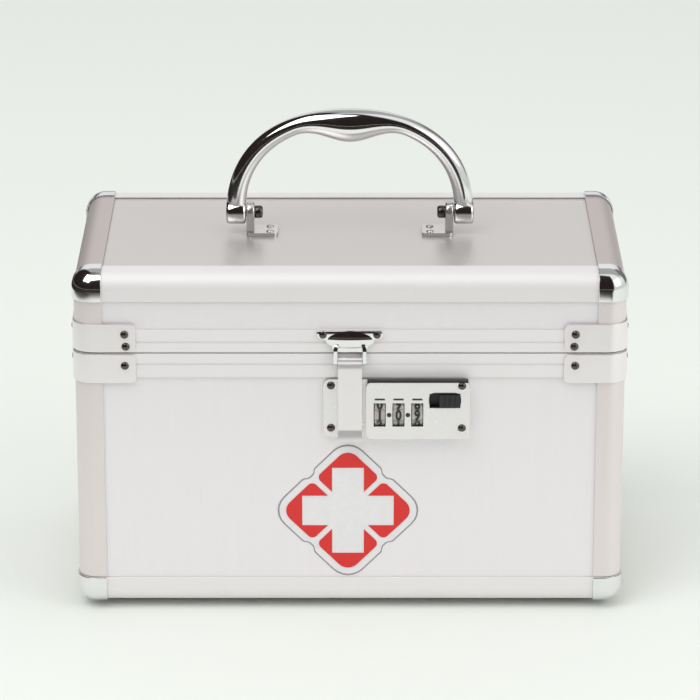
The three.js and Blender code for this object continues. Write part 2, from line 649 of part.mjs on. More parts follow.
const pivotSpan = Math.hypot(stayPivotForward - stayPinForward, stayPivotZ - stayPinZ);
const slotHalf = stayStudRadius + fit;
const restAngle = Math.asin(stayPivotRise / stayReach) + Math.acos(stayPinForward / stayReach);
const slotEnd = 2 * stayReach * Math.sin((restAngle + THREE.MathUtils.degToRad(lidOpening)) / 2) + fit;
const strip = new THREE.Shape();
strip.moveTo(stayWidth / 2, 0);
strip.absarc(0, 0, stayWidth / 2, 0, Math.PI);
strip.lineTo(-stayWidth / 2, -slotEnd);
strip.absarc(0, -slotEnd, stayWidth / 2, Math.PI, Math.PI * 2);
const slot = new THREE.Path();
slot.moveTo(slotHalf, -slotEnd);
slot.absarc(0, -slotEnd, slotHalf, 0, -Math.PI, true);
slot.lineTo(-slotHalf, -pivotSpan);
slot.absarc(0, -pivotSpan, slotHalf, Math.PI, 0, true);
strip.holes.push(slot);
const stripSolid = upright(strip, 0, stayThickness, 6);
const studSolid = solid(new THREE.CylinderGeometry(stayStudRadius, stayStudRadius, 1, 14).rotateX(Math.PI / 2));
const studReach = stayArmX - (-caseWidth / 2 + panelInset + 1.0 + fit);
const stud = studSolid.scale([1, 1, studReach + 0.5]).translate([0, 0, -studReach / 2 + 0.25]);
const stayArm = mesh("stay_arm", join(stripSolid, stud), zinc);
const stayLean = Math.atan2(stayPinY - stayPivotY, stayPivotZ - stayPinZ);
stayArm.rotation.set(Math.PI / 2, 0, Math.PI / 2, "ZYX");
const stay = new THREE.Group();
stay.add(stayArm);
stay.rotation.x = stayLean;
stay.position.set(stayArmX, stayPivotY, stayPivotZ);
lid.add(stay);

// Handle brackets: a riveted foot with a lug, and a pin out through the handle's eye
const legOuter = handleWidth / 2;
const legInner = legOuter - handleLegWidth;
for (const [side, name] of [[-1, "left"], [1, "right"]]) {
  const lugOuter = legInner - fit;
  const lugInner = lugOuter - lugWidth;
  const footTop = lidTopOuter + 0.1 + lugFootThickness;
  const span = (a, b) => [side * a, side * b].sort((p, q) => p - q);
  const foot = box(...span(lugOuter - lugFootLength, lugOuter), -lugFootDepth / 2, lugFootDepth / 2,
    lidTopOuter + 0.1, footTop);
  const lug = join(
    box(...span(lugInner, lugOuter), -4.2, 4.2, lidTopOuter + 0.1, handlePivotHeight),
    rodX(4.2, ...span(lugInner, lugOuter), 0, handlePivotHeight),
  );
  const pivot = rodX(handlePinRadius, ...span(lugInner + 1, legOuter - 1.5), 0, handlePivotHeight, 16);
  const rivets = [-1, 1].map((i) => rivet(side * (lugInner - 3.2), i * 3.6, footTop, upwards, 1.6, 0.7));
  lid.add(mesh(`handle_bracket_${name}`, join(foot, lug, pivot, ...rivets), chrome));
}

// Handle: a bar swept along a slightly squared half ellipse, thicker below in the
// middle for the fingers, and closed by a round eye at each foot
function handleBow() {
  const stations = 36;
  const around = 12;
  const halfSpan = legOuter - handleLegWidth / 2;
  const positions = [];
  const index = [];
  for (let i = 0; i <= stations; i++) {
    const t = (Math.PI * i) / stations;
    const across = Math.sign(Math.cos(t)) * Math.abs(Math.cos(t)) ** (2 / handleSquareness);
    const up = Math.abs(Math.sin(t)) ** (2 / handleSquareness);
    const centre = new THREE.Vector3(halfSpan * across, 0, handleRise * up);
    const slope = handleSquareness - 1;
    const outward = new THREE.Vector3(Math.sign(across) * Math.abs(across) ** slope / halfSpan, 0, up ** slope / handleRise);
    outward.normalize();
    const near = Math.min(Math.abs(centre.x) / gripSpread, 1);
    const swell = Math.cos((near * Math.PI) / 2) ** 2;
    const middle = Math.sin(t);
    const outerRadius = THREE.MathUtils.lerp(handleLegWidth / 2, handleBar, middle);
    const innerRadius = outerRadius + gripDrop * swell;
    const halfDepth = handleDepth + gripDepth * swell;
    for (let j = 0; j < around; j++) {
      const angle = (2 * Math.PI * j) / around;
      const radial = Math.cos(angle) * (Math.cos(angle) > 0 ? outerRadius : innerRadius);
      const point = centre.clone().addScaledVector(outward, radial);
      positions.push(point.x, halfDepth * Math.sin(angle), point.z);
    }
  }
  for (let i = 0; i < stations; i++) {
    for (let j = 0; j < around; j++) {
      const [a, b] = [i * around + j, i * around + ((j + 1) % around)];
      index.push(a, b, a + around, b, b + around, a + around);
    }
  }
  for (let j = 1; j < around - 1; j++) {
    index.push(0, j + 1, j);
    const last = stations * around;
    index.push(last, last + j, last + j + 1);
  }
  const geometry = new THREE.BufferGeometry();
  geometry.setAttribute("position", new THREE.Float32BufferAttribute(positions, 3));
  geometry.setIndex(index);
  geometry.translate(0, 0, handlePivotHeight);
  return solid(geometry);
}
const eyes = [-1, 1].map((side) => {
  const [x0, x1] = [side * legInner, side * legOuter].sort((a, b) => a - b);
  return rodX(handleEyeRadius, x0, x1, 0, handlePivotHeight, 20);
});
const eyeBores = [-1, 1].map((side) => {
  const [x0, x1] = [side * (legInner - 1), side * (legOuter - 1.2)].sort((a, b) => a - b);
  return rodX(handlePinRadius + fit, x0, x1, 0, handlePivotHeight, 16);
});
lid.add(mesh("handle", cut(join(handleBow(), ...eyes), ...eyeBores), chrome));

// Hasp bracket: a waisted plate on the lid rim with a domed middle, two ears and a pin
const bracketBack = -caseDepth / 2 - 0.1;
const bracketFront = bracketBack - haspBracketThickness;
const haspPinY = frontFace - haspPinForward;
const haspBase = lidBottom + fit;
const earInner = haspWidth / 2 + fit / 2;
const earWidth = 1.8;
function haspBracket() {
  const half = haspBracketWidth / 2;
  const top = haspBase + haspBracketHeight;
  const wing = haspBase + haspBracketHeight * 0.62;
  const shape = new THREE.Shape();
  shape.moveTo(-haspWaist, haspBase);
  shape.lineTo(haspWaist, haspBase);
  shape.quadraticCurveTo(haspWaist, wing - 1.5, half - 2.5, wing);
  shape.quadraticCurveTo(half, wing + 0.6, half, wing + 2.0);
  shape.quadraticCurveTo(half, top, half - 1.6, top);
  shape.lineTo(-half + 1.6, top);
  shape.quadraticCurveTo(-half, top, -half, wing + 2.0);
  shape.quadraticCurveTo(-half, wing + 0.6, -half + 2.5, wing);
  shape.quadraticCurveTo(-haspWaist, wing - 1.5, -haspWaist, haspBase);
  const base = facing(shape, bracketFront, bracketBack, 4);
  const dome = new THREE.SphereGeometry(1, 16, 8);
  dome.scale(haspWaist + 0.6, 3.0, 3.4);
  dome.translate(0, bracketFront + 0.3, haspBase + haspBracketHeight * 0.55);
  const ahead = box(-half, half, bracketFront - 6, bracketBack - 0.3, haspBase, top);
  const ears = [-1, 1].map((side) => {
    const [x0, x1] = [side * earInner, side * (earInner + earWidth)].sort((a, b) => a - b);
    return join(
      rodX(haspKnuckleRadius + 0.1, x0, x1, haspPinY, haspPinHeight),
      box(x0, x1, haspPinY - haspKnuckleRadius - 0.1, bracketBack - 0.3, haspPinHeight, haspBase + 1.5),
    );
  });
  const pin = rodX(haspPinRadius, -earInner - 0.5, earInner + 0.5, haspPinY, haspPinHeight, 12);
  const heads = [-1, 1].map((side) => rivet(side * (half - 2.8), bracketFront, wing + 2.0, towardsFront, 1.6, 0.7));
  return join(base, solid(dome).intersect(ahead), ...ears, pin, ...heads);
}
lid.add(mesh("hasp_bracket", haspBracket(), chrome));

// Hasp flap: a bar that hangs from the pin, closed over the bolt, with a finger lip
const flapBack = frontFace - haspStandoff;
const flapFront = flapBack - haspThickness;
const flapBottom = lockBottom - haspOverhang;
const boltEye = box(boltTip - slideTravel - 2 * fit, haspWidth, boltFront - fit, boltBack + fit, boltBottom - fit, boltTop + fit);
const flapSide = new THREE.Shape();
flapSide.moveTo(flapBack, haspPinHeight - 1.0);
flapSide.lineTo(flapBack, flapBottom + 2.0);
flapSide.quadraticCurveTo(flapBack, flapBottom, flapBack - 1.6, flapBottom);
flapSide.lineTo(flapFront - haspLip, flapBottom);
flapSide.quadraticCurveTo(flapFront - haspLip, flapBottom + 3.0, flapFront, flapBottom + 5.0);
flapSide.lineTo(flapFront, haspPinHeight - 3.5);
flapSide.quadraticCurveTo(flapFront, haspPinHeight - 1.0, haspPinY - 0.2, haspPinHeight - 1.0);
const flapBody = new THREE.ExtrudeGeometry(flapSide, { depth: haspWidth, bevelEnabled: false, curveSegments: 4 });
flapBody.rotateX(Math.PI / 2);
flapBody.rotateZ(Math.PI / 2);
flapBody.translate(-haspWidth / 2, 0, 0);
const haspFlap = cut(
  join(solid(flapBody), rodX(haspKnuckleRadius, -haspWidth / 2, haspWidth / 2, haspPinY, haspPinHeight)),
  rodX(haspBore, -haspWidth, haspWidth, haspPinY, haspPinHeight, 16),
  boltEye,
);
lid.add(mesh("hasp_flap", haspFlap, chrome));

const lockBox = new THREE.Group();
lockBox.add(body, lid);
// The middle of the outermost faces, front and back, is put on the origin
const frontmost = flapFront - haspLip;
const rearmost = hingeY + hingeKnuckleRadius;
lockBox.position.y = -(frontmost + rearmost) / 2;

export default lockBox;
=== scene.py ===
import math

import bmesh
import bpy
from mathutils import Matrix, Vector


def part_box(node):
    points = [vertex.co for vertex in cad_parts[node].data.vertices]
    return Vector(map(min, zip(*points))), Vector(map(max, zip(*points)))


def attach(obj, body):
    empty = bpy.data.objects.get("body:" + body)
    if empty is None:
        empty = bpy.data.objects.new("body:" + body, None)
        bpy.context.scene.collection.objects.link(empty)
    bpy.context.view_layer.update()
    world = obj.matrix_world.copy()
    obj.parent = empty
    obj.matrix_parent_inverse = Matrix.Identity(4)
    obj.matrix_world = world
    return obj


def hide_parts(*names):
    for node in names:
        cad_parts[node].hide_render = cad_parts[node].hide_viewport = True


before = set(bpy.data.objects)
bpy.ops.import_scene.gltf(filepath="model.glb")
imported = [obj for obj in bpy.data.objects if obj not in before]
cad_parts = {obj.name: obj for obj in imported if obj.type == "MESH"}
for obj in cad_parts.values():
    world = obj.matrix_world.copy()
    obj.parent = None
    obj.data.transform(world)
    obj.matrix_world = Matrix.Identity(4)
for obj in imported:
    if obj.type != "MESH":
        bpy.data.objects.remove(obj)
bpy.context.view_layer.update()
scene = bpy.context.scene
scene.view_settings.view_transform = "Standard"

# Camera
# It stands straight in front of the case, a little above it, and far enough away
# that the rear of the lid looks only slightly narrower than its front.
camera_elevation = math.radians(19.5)
camera_distance = 1.80
camera_aim = Vector((0.0, 0.0, 0.1000))
camera_lens = 206.0
camera_data = bpy.data.cameras.new("studio_camera")
camera_data.lens = camera_lens
camera_data.sensor_width = 36.0
camera_data.clip_start = 0.05
camera_data.clip_end = 60.0
camera = bpy.data.objects.new("studio_camera", camera_data)
camera_back = Vector((0.0, -math.cos(camera_elevation), math.sin(camera_elevation)))
camera.location = camera_aim + camera_back * camera_distance
camera.rotation_mode = "QUATERNION"
camera.rotation_quaternion = (-camera_back).to_track_quat("-Z", "Y")
scene.collection.objects.link(camera)
scene.camera = camera


# Floor
# A plain pale table top, matt paint on board, which is not part of the case. Only in
# gloss does it end about half a metre in front and to the left, where the studio is dark.
def new_material(name):
    material = bpy.data.materials.new(name)
    material.use_nodes = True
    return material, material.node_tree.nodes["Principled BSDF"]


def add_node(nodes, kind, **settings):
    node = nodes.new(kind)
    for key, value in settings.items():
        if key in node.inputs:
            node.inputs[key].default_value = value
        else:
            setattr(node, key, value)
    return node


def node_maths(tree, operation, first, second=0.0):
    node = add_node(tree.nodes, "ShaderNodeMath", operation=operation)
    for socket, value in zip(node.inputs, (first, second)):
        if isinstance(value, (int, float)):
            socket.default_value = value
        else:
            tree.links.new(value, socket)
    return node.outputs[0]


def node_product(tree, first, *others):
    for other in others:
        first = node_maths(tree, "MULTIPLY", first, other)
    return first


def soft_step(tree, value, ends):
    node = add_node(tree.nodes, "ShaderNodeMapRange", interpolation_type="SMOOTHSTEP")
    node.inputs["From Min"].default_value = ends[0]
    node.inputs["From Max"].default_value = ends[1]
    tree.links.new(value, node.inputs["Value"])
    return node.outputs[0]


def mix_colours(tree, factor, first, second):
    node = add_node(tree.nodes, "ShaderNodeMix", data_type="RGBA")
    for name, value in (("Factor", factor), ("A", first), ("B", second)):
        if isinstance(value, bpy.types.NodeSocket):
            tree.links.new(value, node.inputs[name])
        else:
            node.inputs[name].default_value = value
    return node.outputs["Result"]


def dark_side(tree, sideways, depth):
    azimuth = node_maths(tree, "ARCTAN2", sideways, node_maths(tree, "MULTIPLY", depth, -1.0))
    right_end = soft_step(tree, azimuth, dark_right_end)
    return node_product(tree, right_end, soft_step(tree, azimuth, dark_left_end)), azimuth


floor_colour = (0.785, 0.81, 0.77, 1.0)
dark_studio = (0.020, 0.014, 0.012, 1.0)
backdrop_colour = (0.835, 0.86, 0.825, 1.0)
dark_right_end = (0.60, 0.45)
dark_left_end = (-2.85, -2.65)
floor_half = 14.0
table_centre = (-0.02, 0.0, 0.0)
table_reach = (0.53, 0.60)
floor_material, surface = new_material("pale_floor")
floor_tree = floor_material.node_tree
nodes = floor_tree.nodes
links = floor_tree.links
place = add_node(nodes, "ShaderNodeTexCoord")
split = add_node(nodes, "ShaderNodeSeparateXYZ")
links.new(place.outputs["Object"], split.inputs[0])
side_mask = dark_side(floor_tree, split.outputs["X"], split.outputs["Y"])[0]
reach = add_node(nodes, "ShaderNodeVectorMath", operation="DISTANCE")
reach.inputs[1].default_value = table_centre
links.new(place.outputs["Object"], reach.inputs[0])
far_mask = soft_step(floor_tree, reach.outputs["Value"], table_reach)
ray = add_node(nodes, "ShaderNodeLightPath")
dark_mask = node_product(floor_tree, side_mask, far_mask, ray.outputs["Is Glossy Ray"])
table = mix_colours(floor_tree, dark_mask, floor_colour, dark_studio)
links.new(table, surface.inputs["Base Color"])
surface.inputs["Roughness"].default_value = 0.75
surface.inputs["Specular IOR Level"].default_value = 0.25
bm = bmesh.new()
bmesh.ops.create_grid(bm, x_segments=2, y_segments=2, size=floor_half)
floor_mesh = bpy.data.meshes.new("floor")
bm.to_mesh(floor_mesh)
bm.free()
floor_mesh.materials.append(floor_material)
floor = bpy.data.objects.new("floor", floor_mesh)
scene.collection.objects.link(floor)

# Studio light
# A white room with a large soft lamp at the upper left and a weaker one on the right.
# Black flags in front, to the left, at the right rear and low behind, and a grey ceiling
# behind, give the chrome its bands. Matt surfaces see only half of their lower parts.
room_white = (0.93, 0.94, 0.93, 1.0)
room_low = (0.72, 0.72, 0.72, 1.0)
horizon_rise = (-0.02, 0.02)
wall_rise = (0.05, 0.45)
front_flag_top = (1.005, 0.985)
low_flag_top = (0.20, 0.12)
low_flag_turn = (2.0, 2.3)
low_flag_share = 0.75
right_rear_top = (0.80, 0.65)
right_rear_start = (1.9, 2.1)
right_rear_end = (2.85, 2.65)
right_rear_share = 0.8
rear_ceiling_rise = (0.50, 0.75)
rear_ceiling_turn = (1.5, 1.8)
rear_ceiling_share = 0.55
matt_flag_top = (0.70, 0.30)
matt_share = 0.50
world = bpy.data.worlds.new("studio")
world.use_nodes = True
scene.world = world
room_tree = world.node_tree
nodes = room_tree.nodes
links = room_tree.links
direction = add_node(nodes, "ShaderNodeTexCoord")
split = add_node(nodes, "ShaderNodeSeparateXYZ")
links.new(direction.outputs["Generated"], split.inputs[0])
height = split.outputs["Z"]


def by_height(ends):
    return soft_step(room_tree, height, ends)


front_flags, azimuth = dark_side(room_tree, split.outputs["X"], split.outputs["Y"])
front_flags = node_product(room_tree, front_flags, by_height(front_flag_top))
turned_away = node_maths(room_tree, "ABSOLUTE", azimuth)
low_flag = node_product(
    room_tree,
    by_height(low_flag_top),
    soft_step(room_tree, turned_away, low_flag_turn),
    low_flag_share,
)
right_rear_flag = node_product(
    room_tree,
    soft_step(room_tree, azimuth, right_rear_start),
    soft_step(room_tree, azimuth, right_rear_end),
    by_height(right_rear_top),
    right_rear_share,
)
rear_ceiling = node_product(
    room_tree,
    soft_step(room_tree, turned_away, rear_ceiling_turn),
    rear_ceiling_share,
    by_height(rear_ceiling_rise),
)
flags = node_maths(room_tree, "MAXIMUM", low_flag, right_rear_flag)
flags = node_maths(room_tree, "MAXIMUM", front_flags, flags)
flags = node_product(room_tree, flags, by_height(horizon_rise))
flags = node_maths(room_tree, "MAXIMUM", flags, rear_ceiling)
ray = add_node(nodes, "ShaderNodeLightPath")
walls = mix_colours(room_tree, by_height(wall_rise), room_low, room_white)
matt_flags = node_product(room_tree, flags, by_height(matt_flag_top), matt_share)
gloss_flags = node_product(room_tree, flags, ray.outputs["Is Glossy Ray"])
flags = node_maths(room_tree, "MAXIMUM", gloss_flags, matt_flags)
room = mix_colours(room_tree, flags, walls, dark_studio)
backdrop = mix_colours(room_tree, ray.outputs["Is Camera Ray"], room, backdrop_colour)
links.new(backdrop, nodes["Background"].inputs["Color"])
lamp_target = Vector((0.0, 0.0, 0.08))


def soft_lamp(name, place, width, height, power):
    data = bpy.data.lights.new(name, "AREA")
    data.shape = "RECTANGLE"
    data.size = width
    data.size_y = height
    data.energy = power
    lamp = bpy.data.objects.new(name, data)
    lamp.location = place
    lamp.rotation_mode = "QUATERNION"
    lamp.rotation_quaternion = (lamp_target - Vector(place)).to_track_quat("-Z", "Y")
    scene.collection.objects.link(lamp)


soft_lamp("key_softbox", (-0.72, -0.86, 1.90), width=1.2, height=1.5, power=17.0)
soft_lamp("fill_softbox", (1.5, -0.9, 1.1), width=1.2, height=1.2, power=6.0)


# Panels
# Flat sheets of satin aluminium on board, with a fine upright grain and the faint
# cloudiness that wiping leaves. They are held by their edges in the extrusions.
def build_grain_group():
    group = bpy.data.node_groups.new("drawn_grain", "ShaderNodeTree")
    for way, kind, names in [
        ("INPUT", "Vector", ["Vector", "Stretch"]),
        ("INPUT", "Float", ["Fineness", "Base Roughness", "Roughness Spread", "Cloud Size"]),
        ("INPUT", "Color", ["Dark Colour", "Light Colour"]),
        ("OUTPUT", "Color", ["Colour"]),
        ("OUTPUT", "Float", ["Roughness", "Height"]),
    ]:
        for name in names:
            group.interface.new_socket(name, in_out=way, socket_type=f"NodeSocket{kind}")
    nodes = group.nodes
    links = group.links
    given = nodes.new("NodeGroupInput").outputs
    result = nodes.new("NodeGroupOutput").inputs
    stretched = add_node(nodes, "ShaderNodeVectorMath", operation="MULTIPLY")
    links.new(given["Vector"], stretched.inputs[0])
    links.new(given["Stretch"], stretched.inputs[1])
    streaks = add_node(nodes, "ShaderNodeTexNoise", Detail=4.0, Roughness=0.6)
    links.new(stretched.outputs[0], streaks.inputs["Vector"])
    links.new(given["Fineness"], streaks.inputs["Scale"])
    clouds = add_node(nodes, "ShaderNodeTexNoise", Detail=3.0, Roughness=0.5)
    links.new(given["Vector"], clouds.inputs["Vector"])
    links.new(given["Cloud Size"], clouds.inputs["Scale"])
    both = add_node(nodes, "ShaderNodeMix", data_type="FLOAT", Factor=0.45)
    links.new(streaks.outputs["Fac"], both.inputs["A"])
    links.new(clouds.outputs["Fac"], both.inputs["B"])
    centred = node_maths(group, "SUBTRACT", both.outputs["Result"], 0.5)
    spread = node_product(group, centred, given["Roughness Spread"])
    shade = mix_colours(group, both.outputs["Result"], given["Dark Colour"], given["Light Colour"])
    links.new(shade, result["Colour"])
    links.new(node_maths(group, "ADD", spread, given["Base Roughness"]), result["Roughness"])
    links.new(streaks.outputs["Fac"], result["Height"])
    return group


grain_group = build_grain_group()


def emboss(surface, value, strength, distance):
    tree = surface.id_data
    relief = add_node(tree.nodes, "ShaderNodeBump", Strength=strength, Distance=distance)
    tree.links.new(value, relief.inputs["Height"])
    tree.links.new(relief.outputs["Normal"], surface.inputs["Normal"])


def grained_metal(
    name, dark, light, metallic, roughness,
    spread=0.10, stretch=(1.0, 1.0, 1.0), fineness=900.0, bump=0.04, clouds=12.0,
):
    material, surface = new_material(name)
    nodes = material.node_tree.nodes
    links = material.node_tree.links
    place = add_node(nodes, "ShaderNodeTexCoord")
    grain = add_node(nodes, "ShaderNodeGroup", node_tree=grain_group)
    for socket, value in [
        ("Stretch", stretch),
        ("Fineness", fineness),
        ("Base Roughness", roughness),
        ("Roughness Spread", spread),
        ("Dark Colour", (*dark, 1.0)),
        ("Light Colour", (*light, 1.0)),
        ("Cloud Size", clouds),
    ]:
        grain.inputs[socket].default_value = value
    links.new(place.outputs["Object"], grain.inputs["Vector"])
    links.new(grain.outputs["Colour"], surface.inputs["Base Color"])
    links.new(grain.outputs["Roughness"], surface.inputs["Roughness"])
    surface.inputs["Metallic"].default_value = metallic
    emboss(surface, grain.outputs["Height"], bump, 0.0002)
    return material


def paint_node(name, material):
    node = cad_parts[name]
    node.data.materials.clear()
    node.data.materials.append(material)


panel_sheet = grained_metal(
    "panel_sheet", (0.85, 0.815, 0.835), (0.91, 0.875, 0.895), metallic=0.4, roughness=0.42,
    spread=0.12, stretch=(1.0, 1.0, 0.06), fineness=420.0, bump=0.08,
)
# The lid's top sheet is the panels' aluminium coloured darker: painted shade for the dimmer light that its
# upward face reflects.
top_sheet_painted_shade = grained_metal(
    "top_sheet_painted_shade", (0.63, 0.60, 0.585), (0.67, 0.64, 0.625), metallic=0.6, roughness=0.34,
    spread=0.05, stretch=(0.06, 1.0, 1.0), fineness=420.0, bump=0.01,
)
for side in ("front", "back", "left", "right"):
    paint_node(f"{side}_panel", panel_sheet)
    paint_node(f"lid_{side}_panel", panel_sheet)
paint_node("base_panel", panel_sheet)
paint_node("lid_top_panel", top_sheet_painted_shade)

# Edge extrusions
# Rounded drawn-aluminium edges round the top and bottom and down each corner, each a
# thin skin over the panels' edges. The posts stop at the rims. The lid's run differs
# slightly in tone. The side runs and the posts are coloured darker and pinker: painted
# shade that stands in for the darker reflections along their grain.
edge_radius = 0.008
edge_flange = 0.0125
edge_skin = 0.0008
case_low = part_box("base_edge")[0]
case_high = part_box("lid_frame")[1]
case_centre = (case_low + case_high) / 2
case_size = case_high - case_low
skin_rounding = 0.0002
corners = [(end, side) for end in ("front", "back") for side in ("left", "right")]
extrusion = grained_metal("edge_extrusion", (0.86, 0.83, 0.84), (0.92, 0.89, 0.90), 0.4, 0.60)
lid_extrusion = grained_metal("edge_extrusion_lid", (0.81, 0.785, 0.79), (0.87, 0.845, 0.85), 0.4, 0.62)
# The side and post tones are painted shade: a darker colour in place of the darker reflections that their
# grain catches.
side_extrusion_painted_shade = grained_metal("edge_extrusion_side_painted_shade", (0.54, 0.482, 0.465), (0.605, 0.547, 0.53), 0.5, 0.46)
post_extrusion_painted_shade = grained_metal("edge_extrusion_post_painted_shade", (0.76, 0.70, 0.69), (0.83, 0.77, 0.76), 0.5, 0.40)


def face_outwards(bm):
    bmesh.ops.recalc_face_normals(bm, faces=bm.faces)


def bevel(bm, geom, width, segments, affect="EDGES"):
    bmesh.ops.bevel(
        bm, geom=geom, offset=width, segments=segments, profile=0.5, affect=affect, material=-1
    )


def rounded_case(standoff, segments):
    bm = bmesh.new()
    bmesh.ops.create_cube(bm, size=1.0)
    grown = case_size + Vector((2 * standoff,) * 3)
    bmesh.ops.transform(bm, matrix=Matrix.Diagonal((*grown, 1.0)), verts=bm.verts)
    bevel(bm, bm.edges[:], edge_radius + standoff, segments)
    bmesh.ops.translate(bm, vec=case_centre, verts=bm.verts)
    return bm


def slice_at(bm, axis, level, drop=0):
    normal = Vector((0, 0, 0))
    normal[axis] = 1.0
    point = Vector(case_centre)
    point[axis] = level
    everything = bm.verts[:] + bm.edges[:] + bm.faces[:]
    bmesh.ops.bisect_plane(
        bm,
        geom=everything,
        dist=1e-7,
        plane_co=point,
        plane_no=normal,
        clear_outer=drop > 0,
        clear_inner=drop < 0,
    )


def case_inset(place):
    return [min(place[axis] - case_low[axis], case_high[axis] - place[axis]) for axis in range(3)]


def edge_skin_between(low, high):
    bm = rounded_case(0.0, 10)
    if low > case_low.z + 1e-5:
        slice_at(bm, 2, low, -1)
    if high < case_high.z - 1e-5:
        slice_at(bm, 2, high, 1)
    for axis in (0, 1):
        slice_at(bm, axis, case_low[axis] + edge_flange)
        slice_at(bm, axis, case_high[axis] - edge_flange)
    for level in (case_low.z + edge_flange, case_high.z - edge_flange):
        if low < level < high:
            slice_at(bm, 2, level)
    windows = []
    for face in bm.faces:
        inset = case_inset(face.calc_center_median())
        if sum(distance < edge_flange - 1e-6 for distance in inset) < 2:
            windows.append(face)
    bmesh.ops.delete(bm, geom=windows, context="FACES")
    return bm


def make_piece(name, bm, material, body, replaced=(), smooth_angle=35.0):
    mesh = bpy.data.meshes.new(name)
    bm.to_mesh(mesh)
    bm.free()
    mesh.materials.append(material)
    mesh.shade_smooth()
    mesh.set_sharp_from_angle(angle=math.radians(smooth_angle))
    piece = bpy.data.objects.new(name, mesh)
    scene.collection.objects.link(piece)
    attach(piece, body)
    if replaced:
        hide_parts(*replaced)
    return piece


def add_wall(piece, thickness):
    wall = piece.modifiers.new("wall", "SOLIDIFY")
    wall.thickness = thickness
    wall.offset = -1.0
    wall.use_even_offset = True


def add_rounding(piece, width, segments=2, angle=40.0):
    rounding = piece.modifiers.new("rounding", "BEVEL")
    rounding.width = width
    rounding.segments = segments
    rounding.limit_method = "ANGLE"
    rounding.angle_limit = math.radians(angle)
    rounding.harden_normals = True


lid_frame_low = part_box("lid_frame")[0].z
base_edge_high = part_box("base_edge")[1].z
bm = edge_skin_between(lid_frame_low, case_high.z)
top_edge = make_piece("lid_edge_skin", bm, lid_extrusion, "lid", ["lid_frame"])
bm = edge_skin_between(case_low.z, base_edge_high)
base_edge = make_piece("base_edge_skin", bm, extrusion, "case", ["base_edge"])
for edge in (top_edge, base_edge):
    add_wall(edge, edge_skin)
    add_rounding(edge, skin_rounding)
    edge.data.materials.append(side_extrusion_painted_shade)
    edge.data.materials.append(post_extrusion_painted_shade)
    for polygon in edge.data.polygons:
        inset = case_inset(polygon.center)
        if inset[0] < edge_flange and inset[1] > edge_flange:
            polygon.material_index = 1 if edge == top_edge else 2
        elif inset[0] < edge_flange and inset[2] > edge_flange:
            polygon.material_index = 2
for side in ("left", "right"):
    for end in ("front", "back"):
        node = f"corner_post_{end}_{side}"
        post_low, post_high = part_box(node)
        bm = edge_skin_between(post_low.z, post_high.z)
        slice_at(bm, 0, case_centre.x, 1 if side == "left" else -1)
        slice_at(bm, 1, case_centre.y, 1 if end == "front" else -1)
        post = make_piece(f"post_skin_{end}_{side}", bm, post_extrusion_painted_shade, "case", [node])
        add_wall(post, edge_skin)
        add_rounding(post, skin_rounding)

# Rims at the seam
# Aluminium rim extrusions that close the top of the body and the bottom of the lid.
# The lid's rim fits over a tongue on the body's, which keeps the dust out.
paint_node("body_rim", extrusion)
paint_node("lid_rim", extrusion)

# Ball corners
# Eight bright chrome caps pressed from sheet, each standing just outside the rounded
# corner that it protects, with plain square-cut edges.
cap_standoff = 0.0009
cap_wall = 0.0006
cap_rounding = 0.00022


def noise_field(surface, scale, detail, roughness=0.5):
    tree = surface.id_data
    place = add_node(tree.nodes, "ShaderNodeTexCoord")
    noise = add_node(tree.nodes, "ShaderNodeTexNoise", Scale=scale, Detail=detail, Roughness=roughness)
    tree.links.new(place.outputs["Object"], noise.inputs["Vector"])
    return noise.outputs["Fac"]


def tint(surface, value, dark, light):
    tree = surface.id_data
    tone = mix_colours(tree, value, (*dark, 1.0), (*light, 1.0))
    tree.links.new(tone, surface.inputs["Base Color"])


def vary_gloss(surface, value, low, high, start=0.0, end=1.0):
    tree = surface.id_data
    gloss = add_node(tree.nodes, "ShaderNodeMapRange")
    gloss.inputs["From Min"].default_value = start
    gloss.inputs["From Max"].default_value = end
    gloss.inputs["To Min"].default_value = low
    gloss.inputs["To Max"].default_value = high
    tree.links.new(value, gloss.inputs["Value"])
    tree.links.new(gloss.outputs[0], surface.inputs["Roughness"])


def polished_metal(name, colour, roughness, smear):
    material, surface = new_material(name)
    smears = noise_field(surface, 55.0, 5.0, 0.62)
    vary_gloss(surface, smears, roughness, roughness + smear, 0.35, 0.75)
    tint(surface, smears, colour, [channel * 0.93 for channel in colour])
    surface.inputs["Metallic"].default_value = 1.0
    orange_peel = noise_field(surface, 260.0, 2.0)
    emboss(surface, orange_peel, 0.03, 0.0002)
    return material


chrome = polished_metal("bright_chrome", (0.86, 0.86, 0.865), 0.05, 0.10)
for level, body in (("lid", "lid"), ("base", "case")):
    for end, side in corners:
        node = f"{level}_corner_{end}_{side}"
        cap_low, cap_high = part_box(node)
        bm = rounded_case(cap_standoff, 12)
        for axis in range(3):
            if cap_low[axis] > case_centre[axis]:
                slice_at(bm, axis, cap_low[axis], -1)
            else:
                slice_at(bm, axis, cap_high[axis], 1)
        cap = make_piece(f"{level}_cap_{end}_{side}", bm, chrome, body, [node])
        add_wall(cap, cap_wall)
        add_rounding(cap, cap_rounding)

